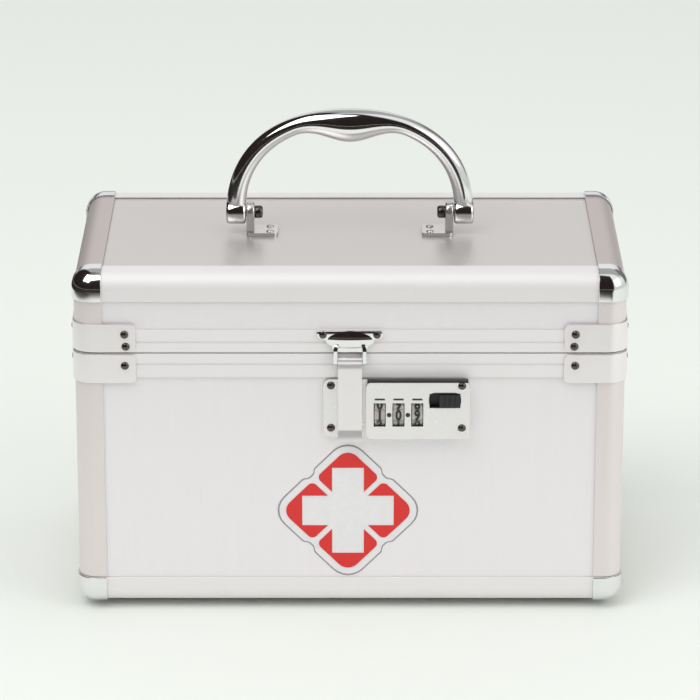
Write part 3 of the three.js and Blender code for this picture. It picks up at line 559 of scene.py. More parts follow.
# Seam brackets
# Satin-plated angles that wrap each corner above and below the seam. They are pressed
# from strip with rounded ends, and held to the rims by domed rivets, coloured near-black
# as painted reflection of the dark studio in their polished domes.
bracket_standoff = 0.0008
bracket_wall = 0.0006
bracket_end_radius = 0.0022
rivet_radius = 0.0018
rivet_height = 0.0012
rivet_sink = 0.0003
front_rivet_inset = 0.0048
side_rivet_inset = 0.0045
side_rivet_height = rivet_height * 0.85
lid_rivet_drop = 0.0045
lid_rivet_lift = 0.0026
lid_rivet_shift = 0.0005
body_rivet_drop = 0.0050
bracket_plate = grained_metal(
    "bracket_plate", (0.85, 0.81, 0.82), (0.91, 0.87, 0.88), 0.6, 0.30, spread=0.08, bump=0.02
)
# The near-black colour is painted reflection: it stands in for the dark studio that the polished domes
# reflect.
rivet_steel_painted_reflection = polished_metal("rivet_steel_painted_reflection", (0.13, 0.11, 0.10), 0.22, 0.12)


def only_verts(geom):
    return [element for element in geom if isinstance(element, bmesh.types.BMVert)]


def bracket_strip(corner, leg_x, leg_y, low, high):
    bm = bmesh.new()
    start = bm.verts.new((leg_x, corner.y, low))
    bend = bm.verts.new((corner.x, corner.y, low))
    end = bm.verts.new((corner.x, leg_y, low))
    bm.edges.new((start, bend))
    bm.edges.new((bend, end))
    bevel(bm, [bend], edge_radius + bracket_standoff, 10, "VERTICES")
    raised = bmesh.ops.extrude_edge_only(bm, edges=bm.edges[:])["geom"]
    bmesh.ops.translate(bm, vec=(0, 0, high - low), verts=only_verts(raised))
    tips = [v for v in bm.verts if len(v.link_edges) == 2]
    bevel(bm, tips, bracket_end_radius, 4, "VERTICES")
    face_outwards(bm)
    outwards = Vector((corner.x - case_centre.x, corner.y - case_centre.y, 0))
    if sum(face.normal.dot(outwards) for face in bm.faces) < 0:
        bmesh.ops.reverse_faces(bm, faces=bm.faces)
    return bm


def turn_profile(bm, points, steps):
    profile = [bm.verts.new((reach, 0, level)) for reach, level in points]
    outline = [bm.edges.new(pair) for pair in zip(profile, profile[1:])]
    bmesh.ops.spin(
        bm,
        geom=profile + outline,
        cent=(0, 0, 0),
        axis=(0, 0, 1),
        angle=math.tau,
        steps=steps,
        use_merge=True,
    )


def close_openings(bm, sides=40):
    bmesh.ops.holes_fill(bm, edges=[e for e in bm.edges if e.is_boundary], sides=sides)


def rivet_heads(
    name, places, outward, body,
    radius=rivet_radius, height=rivet_height, material=rivet_steel_painted_reflection,
):
    profile = [
        (radius, -rivet_sink),
        (radius, height * 0.12),
        (radius * 0.92, height * 0.45),
        (radius * 0.71, height * 0.74),
        (radius * 0.38, height * 0.94),
        (0, height),
    ]
    turn = Vector((0, 0, 1)).rotation_difference(Vector(outward)).to_matrix().to_4x4()
    bm = bmesh.new()
    for place in places:
        turn_profile(bm, profile, 20)
        made = [v for v in bm.verts if not v.tag]
        bmesh.ops.transform(bm, matrix=Matrix.Translation(place) @ turn, verts=made)
        for vert in made:
            vert.tag = True
    bmesh.ops.remove_doubles(bm, verts=bm.verts, dist=1e-6)
    close_openings(bm)
    face_outwards(bm)
    return make_piece(name, bm, material, body, smooth_angle=50.0)


def outer_side(axis, sign):
    if sign < 0:
        return case_low[axis] - bracket_standoff
    return case_high[axis] + bracket_standoff


for level, body in (("lid", "lid"), ("body", "case")):
    for end, side in corners:
        node = f"{level}_bracket_{end}_{side}"
        strip_low, strip_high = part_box(node)
        out_x = -1 if side == "left" else 1
        out_y = -1 if end == "front" else 1
        corner = Vector((outer_side(0, out_x), outer_side(1, out_y), 0))
        leg_x = strip_high.x if out_x < 0 else strip_low.x
        leg_y = strip_high.y if out_y < 0 else strip_low.y
        bm = bracket_strip(corner, leg_x, leg_y, strip_low.z, strip_high.z)
        name = f"{level}_angle_{end}_{side}"
        strip = make_piece(name, bm, bracket_plate, body, [node])
        add_wall(strip, bracket_wall)
        add_rounding(strip, skin_rounding)
        rivet_x = leg_x + out_x * front_rivet_inset
        if level == "lid":
            lower_x = rivet_x - out_x * lid_rivet_shift
            front_places = [
                (rivet_x, corner.y, strip_high.z - lid_rivet_drop),
                (lower_x, corner.y, strip_low.z + lid_rivet_lift),
            ]
        else:
            front_places = [(rivet_x, corner.y, strip_high.z - body_rivet_drop)]
        name = f"{level}_rivets_{end}_{side}"
        rivet_heads(name, front_places, (0, out_y, 0), body)
        side_y = leg_y + out_y * side_rivet_inset
        rivet_heads(
            f"{level}_side_rivet_{end}_{side}",
            [(corner.x, side_y, (strip_low.z + strip_high.z) / 2)],
            (out_x, 0, 0),
            body,
            height=side_rivet_height,
        )

# Carry handle
# A chromed casting: an arched bar that swells downwards in the middle for the
# fingers and ends in a round eye on each side, where it turns on its bracket.
handle_low, handle_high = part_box("handle")
eye_radius = 0.0054
leg_width = 0.0086
bar_radius = 0.0039
bar_depth = 0.0040
bow_squareness = 2.25
grip_drop = 0.0072
grip_spread = 0.026
grip_depth = 0.0022
handle_y = (handle_low.y + handle_high.y) / 2
pivot_z = handle_low.z + eye_radius
half_span = handle_high.x - leg_width / 2
bow_rise = handle_high.z - bar_radius - pivot_z
bow_stations = 110
eye_rounding = 0.0012


def bow_section(step):
    angle = math.pi * step / bow_stations
    across = math.copysign(abs(math.cos(angle)) ** (2 / bow_squareness), math.cos(angle))
    up = abs(math.sin(angle)) ** (2 / bow_squareness)
    centre = Vector((half_span * across, handle_y, pivot_z + bow_rise * up))
    slope = bow_squareness - 1
    outward = Vector((math.copysign(abs(across) ** slope, across) / half_span, 0, up**slope / bow_rise))
    outward.normalize()
    along = Vector((0, 1, 0)).cross(outward)
    reach = min(abs(centre.x) / grip_spread, 1.0)
    swell = math.cos(reach * math.pi / 2) ** 2
    outer = leg_width / 2 + (bar_radius - leg_width / 2) * abs(math.sin(angle))
    inner = outer + grip_drop * swell
    middle = centre - outward * (inner - outer) / 2
    depth = bar_depth + grip_depth * swell
    place = Matrix.Identity(4)
    place.col[0][:3] = outward * (inner + outer) / 2
    place.col[1][:3] = Vector((0, 1, 0)) * depth
    place.col[2][:3] = along
    place.col[3][:3] = middle
    return place


bm = bmesh.new()
loop = bmesh.ops.create_circle(bm, segments=28, radius=1.0)["verts"]
bmesh.ops.transform(bm, matrix=bow_section(0), verts=loop)
loop_edges = bm.edges[:]
for step in range(1, bow_stations + 1):
    grown = bmesh.ops.extrude_edge_only(bm, edges=loop_edges)["geom"]
    verts = only_verts(grown)
    edges = [element for element in grown if isinstance(element, bmesh.types.BMEdge)]
    loop_edges = [e for e in edges if all(v in verts for v in e.verts)]
    move = bow_section(step) @ bow_section(step - 1).inverted()
    bmesh.ops.transform(bm, matrix=move, verts=verts)
close_openings(bm)


def add_drum(bm, radius, x0, x1, y, z, rounding, segments=40):
    made = bmesh.ops.create_cone(
        bm, cap_ends=True, segments=segments, radius1=radius, radius2=radius, depth=abs(x1 - x0)
    )["verts"]
    turn = Matrix.Translation(((x0 + x1) / 2, y, z)) @ Matrix.Rotation(math.pi / 2, 4, "Y")
    bmesh.ops.transform(bm, matrix=turn, verts=made)
    edges = {e for v in made for e in v.link_edges}
    rims = [e for e in edges if abs(e.verts[0].co.x - e.verts[1].co.x) < 1e-7]
    bevel(bm, rims, rounding, 3)


for side in (-1, 1):
    outer_face = side * handle_high.x
    inner_face = outer_face - side * leg_width
    add_drum(bm, eye_radius, inner_face, outer_face, handle_y, pivot_z, eye_rounding)
face_outwards(bm)
make_piece("carry_handle", bm, chrome, "carry_handle", ["handle"], 50.0)

# Handle brackets
# A riveted foot plate with an upright lug on each side of the lid, between which the
# handle turns. Cast and plated, with a pin out through the handle's eye whose near-black
# head is painted reflection, in the rivets' material.
foot_plating = grained_metal(
    "foot_plating", (0.66, 0.64, 0.63), (0.72, 0.70, 0.69), 0.85, 0.20, spread=0.06, bump=0.02
)
foot_plate = 0.0015
foot_corner = 0.0022
foot_edge = 0.0004
foot_rivet_inset = 0.0036
small_rivet_radius = 0.0017
low_rivet_height = 0.0008
lug_radius = 0.0046
lug_width = 0.0036
lug_gap = 0.0003
lug_sink = 0.0002
lug_corner = 0.0003
lug_edge = 0.0001
lug_rounding = 0.0008
pin_radius = 0.0022
pin_sink = 0.001
pin_proud = 0.0002
pin_rounding = 0.0006
pin_head_radius = 0.0028
pin_head_length = 0.0036
pin_head_sink = 0.0004
pin_head_rounding = 0.0011


def rounded_plate(bm, start, end, corner, edge):
    made = bmesh.ops.create_cube(bm, size=1.0)["verts"]
    middle = [(a + b) / 2 for a, b in zip(start, end)]
    size = [abs(b - a) for a, b in zip(start, end)]
    place = Matrix.Translation(middle) @ Matrix.Diagonal((*size, 1.0))
    bmesh.ops.transform(bm, matrix=place, verts=made)
    edges = {e for v in made for e in v.link_edges}
    uprights = [e for e in edges if abs(e.verts[0].co.z - e.verts[1].co.z) > 1e-7]
    bevel(bm, uprights, corner, 5)
    top = max(start[2], end[2])
    new_edges = [e for e in bm.edges if not e.tag]
    bevel(bm, [e for e in new_edges if all(abs(v.co.z - top) < 1e-7 for v in e.verts)], edge, 3)
    for e in bm.edges:
        e.tag = True


for side, name in ((-1, "left"), (1, "right")):
    node = f"handle_bracket_{name}"
    bracket_low, bracket_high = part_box(node)
    inner_x = bracket_high.x if side < 0 else bracket_low.x
    lug_outer = side * (handle_high.x - leg_width - lug_gap)
    lug_inner = lug_outer - side * lug_width
    plate_top = bracket_low.z + foot_plate
    bm = bmesh.new()
    plate_start = (inner_x, bracket_low.y, bracket_low.z)
    rounded_plate(bm, plate_start, (lug_outer, bracket_high.y, plate_top), foot_corner, foot_edge)
    lug_start = (lug_inner, handle_y - lug_radius, plate_top - lug_sink)
    rounded_plate(bm, lug_start, (lug_outer, handle_y + lug_radius, pivot_z), lug_corner, lug_edge)
    add_drum(bm, lug_radius, lug_inner, lug_outer, handle_y, pivot_z, lug_rounding)
    face_outwards(bm)
    make_piece(f"handle_foot_{name}", bm, foot_plating, "lid", [node], 40.0)
    bm = bmesh.new()
    head_start = lug_inner + side * pin_head_sink
    head_end = lug_inner - side * pin_head_length
    add_drum(bm, pin_head_radius, head_start, head_end, handle_y, pivot_z, pin_head_rounding)
    pin_start = lug_outer - side * pin_sink
    pin_end = side * (handle_high.x + pin_proud)
    add_drum(bm, pin_radius, pin_start, pin_end, handle_y, pivot_z, pin_rounding)
    face_outwards(bm)
    make_piece(f"handle_pin_{name}", bm, rivet_steel_painted_reflection, "lid", (), 40.0)
    rivet_x = inner_x + side * foot_rivet_inset
    rivet_heads(
        f"handle_foot_rivets_{name}",
        [(rivet_x, handle_y + shift, plate_top) for shift in (-foot_rivet_inset, foot_rivet_inset)],
        (0, 0, 1),
        "lid",
        small_rivet_radius,
        low_rivet_height,
        foot_plating,
    )

# Hasp bracket
# A chromed pressing on the lid's rim: a winged plate with a domed middle, and two
# ears below the dome that carry the hasp's pin.
hasp_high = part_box("hasp_bracket")[1]
flap_low, flap_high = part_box("hasp_flap")
hasp_back = hasp_high.y
hasp_plate = 0.0012
hasp_face = hasp_back - hasp_plate
hasp_edge = 0.0004
hasp_waist = 0.0074
hasp_flare = 0.0010
waist_drop = 0.0012
waist_rounding = 0.0018
wing_lift = 0.0006
wing_rounding = 0.0013
hasp_gap = 0.0003
hasp_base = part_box("lid_rim")[0].z + hasp_gap
hasp_rise = hasp_high.z - hasp_base
hasp_wing = hasp_base + hasp_rise * 0.62
hasp_pin_z = flap_high.z - 0.0017
hasp_pin_y = (flap_low.y + flap_high.y + 0.0012) / 2
hasp_pin_radius = 0.0008
hasp_rivet_inset = 0.0028
hasp_rivet_lift = 0.0020
dome_radii = (0.0195, 0.0078, 0.0078)
dome_sink = 0.00675
dome_drop = 0.0042
dome_back = hasp_face + 0.0002
ear_width = 0.0018
ear_radius = 0.0018
ear_gap = 0.00015
ear_rounding = 0.0003
ear_edge = 0.0002


def round_corners(bm, corners, segments):
    for radius in sorted({r for _, r in corners if r > 0}, reverse=True):
        group = [v for v, r in corners if r == radius and v.is_valid]
        bevel(bm, group, radius, segments, "VERTICES")


def raise_faces(bm, faces, depth):
    raised = only_verts(bmesh.ops.extrude_face_region(bm, geom=faces)["geom"])
    bmesh.ops.translate(bm, vec=(0, depth, 0), verts=raised)
    return raised


half_wing = hasp_high.x
right_side = [
    (hasp_waist, hasp_base, 0.0),
    (hasp_waist + hasp_flare, hasp_wing - waist_drop, waist_rounding),
    (half_wing, hasp_wing + wing_lift, wing_rounding),
    (half_wing, hasp_high.z, wing_rounding),
]
left_side = [(-x, z, radius) for x, z, radius in right_side]
wing_points = left_side[:1] + right_side + left_side[:0:-1]
bm = bmesh.new()
verts = [bm.verts.new((x, hasp_back, z)) for x, z, _ in wing_points]
bm.faces.new(verts)
round_corners(bm, [(v, radius) for v, (_, _, radius) in zip(verts, wing_points)], 5)
raised = raise_faces(bm, bm.faces[:], -hasp_plate)
bevel(bm, [e for e in bm.edges if all(v in raised for v in e.verts)], hasp_edge, 3)
face_outwards(bm)
dome_bm = bmesh.new()
bmesh.ops.create_uvsphere(dome_bm, u_segments=56, v_segments=40, radius=1.0)
dome_place = Matrix.Translation((0, hasp_face + dome_sink, hasp_high.z - dome_drop))
dome_size = Matrix.Diagonal((*dome_radii, 1.0))
bmesh.ops.transform(dome_bm, matrix=dome_place @ dome_size, verts=dome_bm.verts)
bmesh.ops.bisect_plane(
    dome_bm,
    geom=dome_bm.verts[:] + dome_bm.edges[:] + dome_bm.faces[:],
    dist=1e-7,
    plane_co=(0, dome_back, 0),
    plane_no=(0, 1, 0),
    clear_outer=True,
)
close_openings(dome_bm, 0)
dome_mesh = bpy.data.meshes.new("hasp_dome")
dome_bm.to_mesh(dome_mesh)
dome_bm.free()
bm.from_mesh(dome_mesh)
for side in (-1, 1):
    ear_inner = side * (flap_high.x + ear_gap)
    ear_outer = ear_inner + side * ear_width
    add_drum(bm, ear_radius, ear_inner, ear_outer, hasp_pin_y, hasp_pin_z, ear_rounding, 28)
    ear_start = (ear_inner, hasp_pin_y - ear_radius, hasp_pin_z)
    ear_end = (ear_outer, hasp_back - 0.0003, hasp_base + 0.0015)
    rounded_plate(bm, ear_start, ear_end, ear_rounding, ear_edge)
pin_end = flap_high.x + 0.0006
add_drum(bm, hasp_pin_radius, -pin_end, pin_end, hasp_pin_y, hasp_pin_z, 0.0001, 20)
make_piece("hasp_wing_plate", bm, chrome, "lid", ["hasp_bracket"], 40.0)
rivet_x = half_wing - hasp_rivet_inset
rivet_heads(
    "hasp_rivets",
    [(x, hasp_face, hasp_wing + hasp_rivet_lift) for x in (-rivet_x, rivet_x)],
    (0, -1, 0),
    "lid",
    small_rivet_radius,
    low_rivet_height,
)


# Hasp flap
# A satin-plated bar that hangs from the pin over the left part of the lock. Its knuckle
# turns on the pin, its back has the blind eye for the bolt, and its foot a lip.
def dressed_copy(name, node, material, body, edge=0.0003, segments=3):
    bm = bmesh.new()
    bm.from_mesh(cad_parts[node].data)
    bmesh.ops.remove_doubles(bm, verts=bm.verts, dist=2e-6)
    bmesh.ops.dissolve_limit(
        bm,
        angle_limit=math.radians(2.0),
        verts=bm.verts,
        edges=bm.edges,
        use_dissolve_boundaries=False,
    )
    piece = make_piece(name, bm, material, body, [node], 32.0)
    add_rounding(piece, edge, segments, 30.0)
    flatten = piece.modifiers.new("flat_faces", "WEIGHTED_NORMAL")
    flatten.keep_sharp = True
    return piece


dressed_copy("hasp_bar", "hasp_flap", bracket_plate, "hasp")

# Lock housing
# A nickel-plated zinc casting, riveted to the front panel: a flat left part under the
# hasp and a raised right part with a window for each dial and the slot of the slide.
nickel = grained_metal(
    "nickel_plate", (0.78, 0.76, 0.76), (0.88, 0.86, 0.86), metallic=0.7, roughness=0.26,
    fineness=700.0, bump=0.03, clouds=60.0,
)
lock_face = dressed_copy("lock_face", "lock_housing", nickel, "case", 0.00035)
paint_node("lock_case", nickel)
housing_low, housing_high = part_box("lock_housing")
knob_stand = 0.0008
raised_depth = 0.0035
flat_width = 0.0186
lock_face_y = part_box("release_slider")[0].y + knob_stand
plate_face_y = lock_face_y + raised_depth
lock_raised_left = housing_low.x + flat_width
for side, x, y, drop, lift in [
    ("right", housing_high.x - 0.0035, lock_face_y, 0.0019, 0.0052),
    ("left", housing_low.x + 0.0033, plate_face_y, 0.0028, 0.0041),
]:
    places = [(x, y, housing_high.z - drop), (x, y, housing_low.z + lift)]
    rivet_heads(f"lock_rivets_{side}", places, (0, -1, 0), "case")

# Number dials
# Three plated wheels on one shaft. Each has ten flats with a number filled in black,
# and a groove between every two for the fingertip.
digit_size = 0.00621
digit_relief = 0.00004
digit_boldness = 0.00024
digit_narrowing = 0.82
shown_digits = {1: 1, 2: 0, 3: 9}


def matt_moulding(name, dark, light, roughness, grain_scale, grain_depth):
    material, surface = new_material(name)
    grain = noise_field(surface, grain_scale, 4.0, 0.65)
    tint(surface, grain, dark, light)
    vary_gloss(surface, grain, roughness - 0.08, roughness + 0.08)
    emboss(surface, grain, 0.35, grain_depth)
    return material


def digit_mesh(number):
    curve = bpy.data.curves.new("digit", "FONT")
    curve.body = str(number)
    curve.size = digit_size
    curve.align_x = "CENTER"
    curve.align_y = "CENTER"
    curve.extrude = digit_relief
    curve.offset = digit_boldness
    curve.resolution_u = 4
    holder = bpy.data.objects.new("digit", curve)
    scene.collection.objects.link(holder)
    bpy.context.view_layer.update()
    depsgraph = bpy.context.evaluated_depsgraph_get()
    mesh = bpy.data.meshes.new_from_object(holder.evaluated_get(depsgraph))
    bpy.data.objects.remove(holder)
    bpy.data.curves.remove(curve)
    return mesh


dial_ink = matt_moulding("dial_ink", (0.012, 0.012, 0.014), (0.03, 0.03, 0.032), 0.45, 900.0, 0.00002)
# The wheels' dark tone is painted shade: the metal is coloured darker for the shade inside the lock's
# windows.
dial_metal_painted_shade = grained_metal(
    "dial_metal_painted_shade", (0.46, 0.43, 0.40), (0.56, 0.53, 0.50), metallic=0.6, roughness=0.38,
    stretch=(0.1, 1.0, 1.0), fineness=800.0, bump=0.03, clouds=60.0,
)
digit_meshes = [digit_mesh(number) for number in range(10)]
upright = Matrix.Rotation(math.pi / 2, 4, "X") @ Matrix.Diagonal((digit_narrowing, 1.0, 1.0, 1.0))
dial_middles = []
for number, body in ((1, "dial_a"), (2, "dial_b"), (3, "dial_c")):
    node = f"dial_{number}"
    dial_low, dial_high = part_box(node)
    middle = (dial_low + dial_high) / 2
    dial_middles.append(middle)
    radius = (dial_high.z - dial_low.z) / 2
    dressed_copy(f"number_wheel_{number}", node, dial_metal_painted_shade, body, 0.00025, 2)
    bm = bmesh.new()
    for place in range(10):
        before = set(bm.verts)
        bm.from_mesh(digit_meshes[(shown_digits[number] + place) % 10])
        added = [v for v in bm.verts if v not in before]
        turn = Matrix.Translation(middle) @ Matrix.Rotation(math.tau * place / 10, 4, "X")
        stand = turn @ Matrix.Translation((0, -radius * 0.998, 0)) @ upright
        bmesh.ops.transform(bm, matrix=stand, verts=added)
    bmesh.ops.remove_doubles(bm, verts=bm.verts, dist=1e-7)
    make_piece(f"dial_numbers_{number}", bm, dial_ink, body)

# Index marks
# Small printed marks on the lock's face: a bar over each window and a dot between
# the windows, in the same black as the numbers.
mark_depth = 0.00008
bar_half = 0.0022
bar_low = dial_middles[0].z + 0.0068
bar_high = bar_low + 0.0008
dot_radius = 0.0010
bar_corner = 0.00002
bar_edge = 0.00005
bm = bmesh.new()
for middle in dial_middles:
    start = (middle.x - bar_half, lock_face_y - mark_depth, bar_low)
    rounded_plate(bm, start, (middle.x + bar_half, lock_face_y, bar_high), bar_corner, bar_edge)
for left, right in zip(dial_middles, dial_middles[1:]):
    dot = bmesh.ops.create_cone(
        bm, cap_ends=True, segments=20, radius1=dot_radius, radius2=dot_radius, depth=mark_depth * 2
    )["verts"]
    place = Matrix.Translation(((left.x + right.x) / 2, lock_face_y, left.z))
    bmesh.ops.transform(bm, matrix=place @ Matrix.Rotation(math.pi / 2, 4, "X"), verts=dot)
face_outwards(bm)
make_piece("lock_index_marks", bm, dial_ink, "case")

# Release slide and reset lever
# Black moulded plastic. The slide's knob is grooved for the thumb and moves in a slot.
# The black rim round the slot, the black strip along the housing's top edge and the
# black inside the housing are painted shade in the same material. The reset lever sits
# inside the case.
# This black serves the real moulded plastic and also the painted shade of the slot's rim, the top strip and
# the housing's inside.
black_plastic_and_shade = matt_moulding(
    "black_plastic_and_shade", (0.010, 0.010, 0.012), (0.022, 0.022, 0.025), 0.42, 1500.0, 0.00003
)
dressed_copy("slide_knob", "release_slider", black_plastic_and_shade, "release")
dressed_copy("reset_tab", "reset_lever", black_plastic_and_shade, "reset")
slide_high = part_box("release_slider")[1]
slot_width = 0.0131
slot_height = 0.0062
slot_right = slide_high.x + 0.00015
slot_left = slot_right - slot_width
slot_top = slide_high.z - 0.0019
slot_bottom = slot_top - slot_height
slot_rounding = 0.0012
rim_rounding = 0.0026
rim_width = 0.0004
rim_depth = 0.00035
rim_proud = 0.00025
shadow_strip_edge = 0.0002
# The black rim round the slot is painted shade: it widens the dark of the slot's recess.
bm = bmesh.new()
for grow, round_off in ((0.0, slot_rounding), (rim_width, rim_rounding)):
    points = [
        (slot_left - grow, slot_bottom - grow),
        (slot_right + grow, slot_bottom - grow),
        (slot_right + grow, slot_top + grow),
        (slot_left - grow, slot_top + grow),
    ]
    verts = [bm.verts.new((x, lock_face_y - rim_proud, z)) for x, z in points]
    for pair in zip(verts, verts[1:] + verts[:1]):
        bm.edges.new(pair)
    bevel(bm, verts, round_off, 6, "VERTICES")
bmesh.ops.bridge_loops(bm, edges=bm.edges[:])
raise_faces(bm, bm.faces[:], rim_depth)
face_outwards(bm)
make_piece("slot_shade_rim", bm, black_plastic_and_shade, "case")
# A black strip along the housing's top edge: painted shadow where that edge reads as a dark line.
bm = bmesh.new()
shadow_strip_start = (lock_raised_left + 0.0006, lock_face_y - 0.0002, housing_high.z - 0.0003)
shadow_strip_end = (housing_high.x - 0.0008, lock_face_y + 0.0022, housing_high.z + 0.0008)
rounded_plate(bm, shadow_strip_start, shadow_strip_end, shadow_strip_edge, shadow_strip_edge)
face_outwards(bm)
make_piece("lock_shadow_strip", bm, black_plastic_and_shade, "case")
# The housing's inner faces behind the windows and the slot are coloured black: painted shade in the
# recesses.
lock_face.data.materials.append(black_plastic_and_shade)
inside_left = housing_low.x + 0.0205
inside_right = housing_high.x - 0.0012
inside_margin = 0.0010
inside_depth = 0.0004
for polygon in lock_face.data.polygons:
    spot = polygon.center
    within_x = inside_left < spot.x < inside_right
    within_z = housing_low.z + inside_margin < spot.z < housing_high.z - inside_margin
    if within_x and within_z and spot.y > lock_face_y + inside_depth:
        polygon.material_index = 1

# Hinges and stay
# Zinc-plated steel: two butt hinges riveted to the rims with their pins, and the
# slotted stay that stops the lid just past upright, on its headed pin.
plated_steel = grained_metal(
    "plated_steel", (0.60, 0.60, 0.61), (0.76, 0.76, 0.77), metallic=1.0, roughness=0.28,
    spread=0.12, stretch=(0.15, 1.0, 1.0), fineness=600.0, bump=0.05, clouds=40.0,
)
leaf_edge = 0.0002
leaf_pin_edge = 0.0003
leaf_face = case_high.y + 0.0011
leaf_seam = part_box("lid_rim")[0].z - 0.0003
leaf_rivet_end = 0.006
leaf_rivet_rise = 0.0070
for name in ("left", "right"):
    for piece, node, body, edge in [
        ("body_leaf", "hinge_body_leaf", "case", leaf_edge),
        ("lid_leaf", "hinge_lid_leaf", "lid", leaf_edge),
        ("leaf_pin", "hinge_pin", "case", leaf_pin_edge),
    ]:
        node = f"{node}_{name}"
        dressed_copy(f"{piece}_{name}", node, plated_steel, body, edge, 2)
    leaf_low, leaf_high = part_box(f"hinge_lid_leaf_{name}")
    middle_x = (leaf_low.x + leaf_high.x) / 2
    reach = (leaf_high.x - leaf_low.x) / 2 - leaf_rivet_end
    for level, body, sign in (("lid", "lid", 1), ("body", "case", -1)):
        rivet_z = leaf_seam + sign * leaf_rivet_rise
        rivet_heads(
            f"{level}_leaf_rivets_{name}",
            [(middle_x + shift, leaf_face, rivet_z) for shift in (-reach, 0, reach)],
            (0, 1, 0),
            body,
            height=low_rivet_height,
        )
dressed_copy("stay_strip", "stay_arm", plated_steel, "stay", leaf_edge, 2)
dressed_copy("stay_stud", "stay_pin", plated_steel, "case", leaf_edge, 2)


# Linings
# Grey card trays covered in a short nap, pressed into the body and the lid. The nap
# is soft and slightly mottled, and hides the inner faces of the panels.
def napped_cloth(name, dark, light):
    material, surface = new_material(name)
    tree = material.node_tree
    nap = noise_field(surface, 1400.0, 3.0, 0.7)
    mottle = noise_field(surface, 45.0, 4.0)
    mixed = add_node(tree.nodes, "ShaderNodeMix", data_type="FLOAT", Factor=0.4)
    tree.links.new(nap, mixed.inputs["A"])
    tree.links.new(mottle, mixed.inputs["B"])
    tint(surface, mixed.outputs["Result"], dark, light)
    surface.inputs["Roughness"].default_value = 0.95
    surface.inputs["Sheen Weight"].default_value = 0.4
    surface.inputs["Sheen Roughness"].default_value = 0.5
    emboss(surface, nap, 0.6, 0.0002)
    return material


lining = napped_cloth("grey_lining", (0.09, 0.095, 0.105), (0.21, 0.22, 0.235))
paint_node("body_liner", lining)
paint_node("lid_liner", lining)

# Feet
# Four turned rubber feet under the base, slightly wider at the root, with the dull
# skin and fine pitting of moulded rubber.
foot_rubber = matt_moulding(
    "foot_rubber", (0.018, 0.018, 0.018), (0.045, 0.045, 0.045), 0.78, 700.0, 0.00008
)
for end, side in corners:
    node = f"foot_{end}_{side}"
    foot_low, foot_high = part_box(node)
    centre = (foot_low + foot_high) / 2
    root = (foot_high.x - foot_low.x) / 2
    profile = [
        (0, foot_low.z),
        (root - 0.0022, foot_low.z),
        (root - 0.0010, foot_low.z + 0.0006),
        (root - 0.0007, foot_low.z + 0.0014),
        (root, foot_high.z),
        (0, foot_high.z),
    ]
    bm = bmesh.new()
    turn_profile(bm, profile, 36)
    bmesh.ops.remove_doubles(bm, verts=bm.verts, dist=1e-6)
    face_outwards(bm)
    bmesh.ops.translate(bm, vec=(centre.x, centre.y, 0), verts=bm.verts)
    make_piece(f"rubber_{node}", bm, foot_rubber, "case", [node], 50.0)


# First-aid sign
# A printed vinyl diamond on the front panel: a white sheet with a thin grey outline
# and four red fields, which leave a white cross and white gaps between them.
def printed_vinyl(name, colour):
    material, surface = new_material(name)
    mottle = noise_field(surface, 350.0, 4.0, 0.6)
    dark = [channel * 0.93 for channel in colour]
    tint(surface, mottle, dark, [min(channel * 1.05, 1.0) for channel in colour])
    vary_gloss(surface, mottle, 0.32, 0.44)
    emboss(surface, mottle, 0.08, 0.00005)
    return material


vinyl_white = printed_vinyl("vinyl_white", (0.79, 0.775, 0.785))
vinyl_red = printed_vinyl("vinyl_red", (0.70, 0.020, 0.018))
vinyl_grey = printed_vinyl("vinyl_grey", (0.30, 0.27, 0.29))
sign_centre = Vector((-0.0009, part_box("front_panel")[0].y, 0.0471))
sign_half = 0.0346
sign_corner = 0.0090
notch_depth = 0.0015
notch_root = 0.0015
notch_mouth = 0.0034
notch_rounding = 0.0008
outline_width = 0.0006
vinyl_step = 0.00012
vinyl_lift = 0.00002
sheet_sink = 0.00005


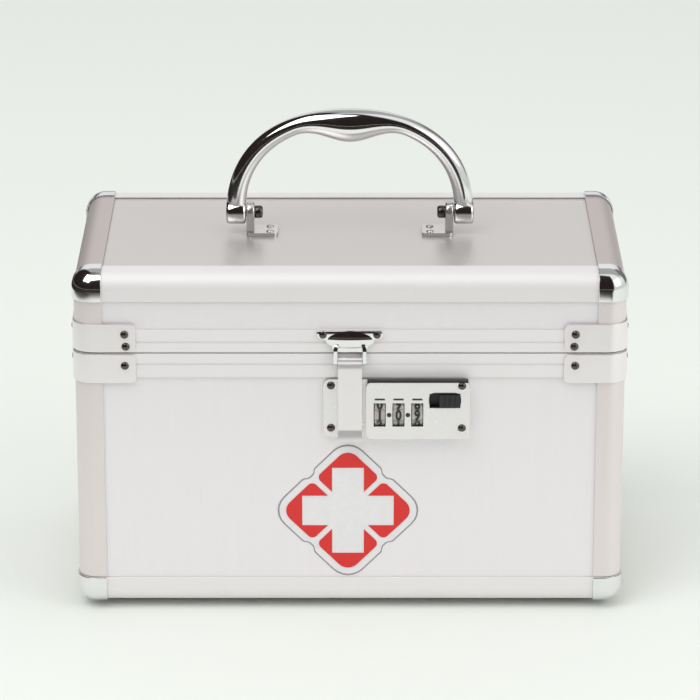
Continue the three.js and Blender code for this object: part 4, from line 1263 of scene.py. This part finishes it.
def notched_outline(inset):
    points = []
    half = sign_half - inset * math.sqrt(2)
    for quarter in range(4):
        turn = Matrix.Rotation(-math.pi / 2 * quarter, 2)
        points.append((turn @ Vector((0, half)), sign_corner - inset * 0.4))
        for along, depth in (
            (-notch_mouth, 0),
            (-notch_root, notch_depth),
            (notch_root, notch_depth),
            (notch_mouth, 0),
        ):
            middle = half / 2 - depth / math.sqrt(2)
            shift = along / math.sqrt(2)
            points.append((turn @ Vector((middle + shift, middle - shift)), notch_rounding))
    return points


def vinyl_sheet(bm, points, back, face):
    old_verts = set(bm.verts)
    verts = [bm.verts.new((sign_centre.x + p.x, back, sign_centre.z + p.y)) for p, _ in points]
    bm.faces.new(verts)
    round_corners(bm, [(v, radius) for v, (_, radius) in zip(verts, points)], 6)
    faces = [f for f in bm.faces if not any(v in old_verts for v in f.verts)]
    raise_faces(bm, faces, face - back)
    face_outwards(bm)


layer_y = [sign_centre.y - vinyl_lift - vinyl_step * i for i in range(4)]
bm = bmesh.new()
vinyl_sheet(bm, notched_outline(0.0), layer_y[0], layer_y[1])
make_piece("sign_outline", bm, vinyl_grey, "case")
bm = bmesh.new()
vinyl_sheet(bm, notched_outline(outline_width), layer_y[0], layer_y[1] - sheet_sink)
make_piece("sign_sheet", bm, vinyl_white, "case")
cross_half = 0.0070
field_root = 0.0088
field_shoulder = 0.0201
field_corner = (0.0138, 0.0156)
field_tip = 0.0294
field_rounding = 0.0025
tip_rounding = 0.0055
red_field = [
    ((-cross_half, field_shoulder), 0),
    ((-cross_half, field_root), 0),
    ((-field_corner[0], field_corner[1]), field_rounding),
    ((0.0, field_tip), tip_rounding),
    (field_corner, field_rounding),
    ((cross_half, field_root), 0),
    ((cross_half, field_shoulder), 0),
]
bm = bmesh.new()
for quarter in range(4):
    turn = Matrix.Rotation(math.pi / 2 * quarter, 2)
    points = [(turn @ Vector(place), radius) for place, radius in red_field]
    vinyl_sheet(bm, points, layer_y[2], layer_y[3])
make_piece("sign_red_fields", bm, vinyl_red, "case")
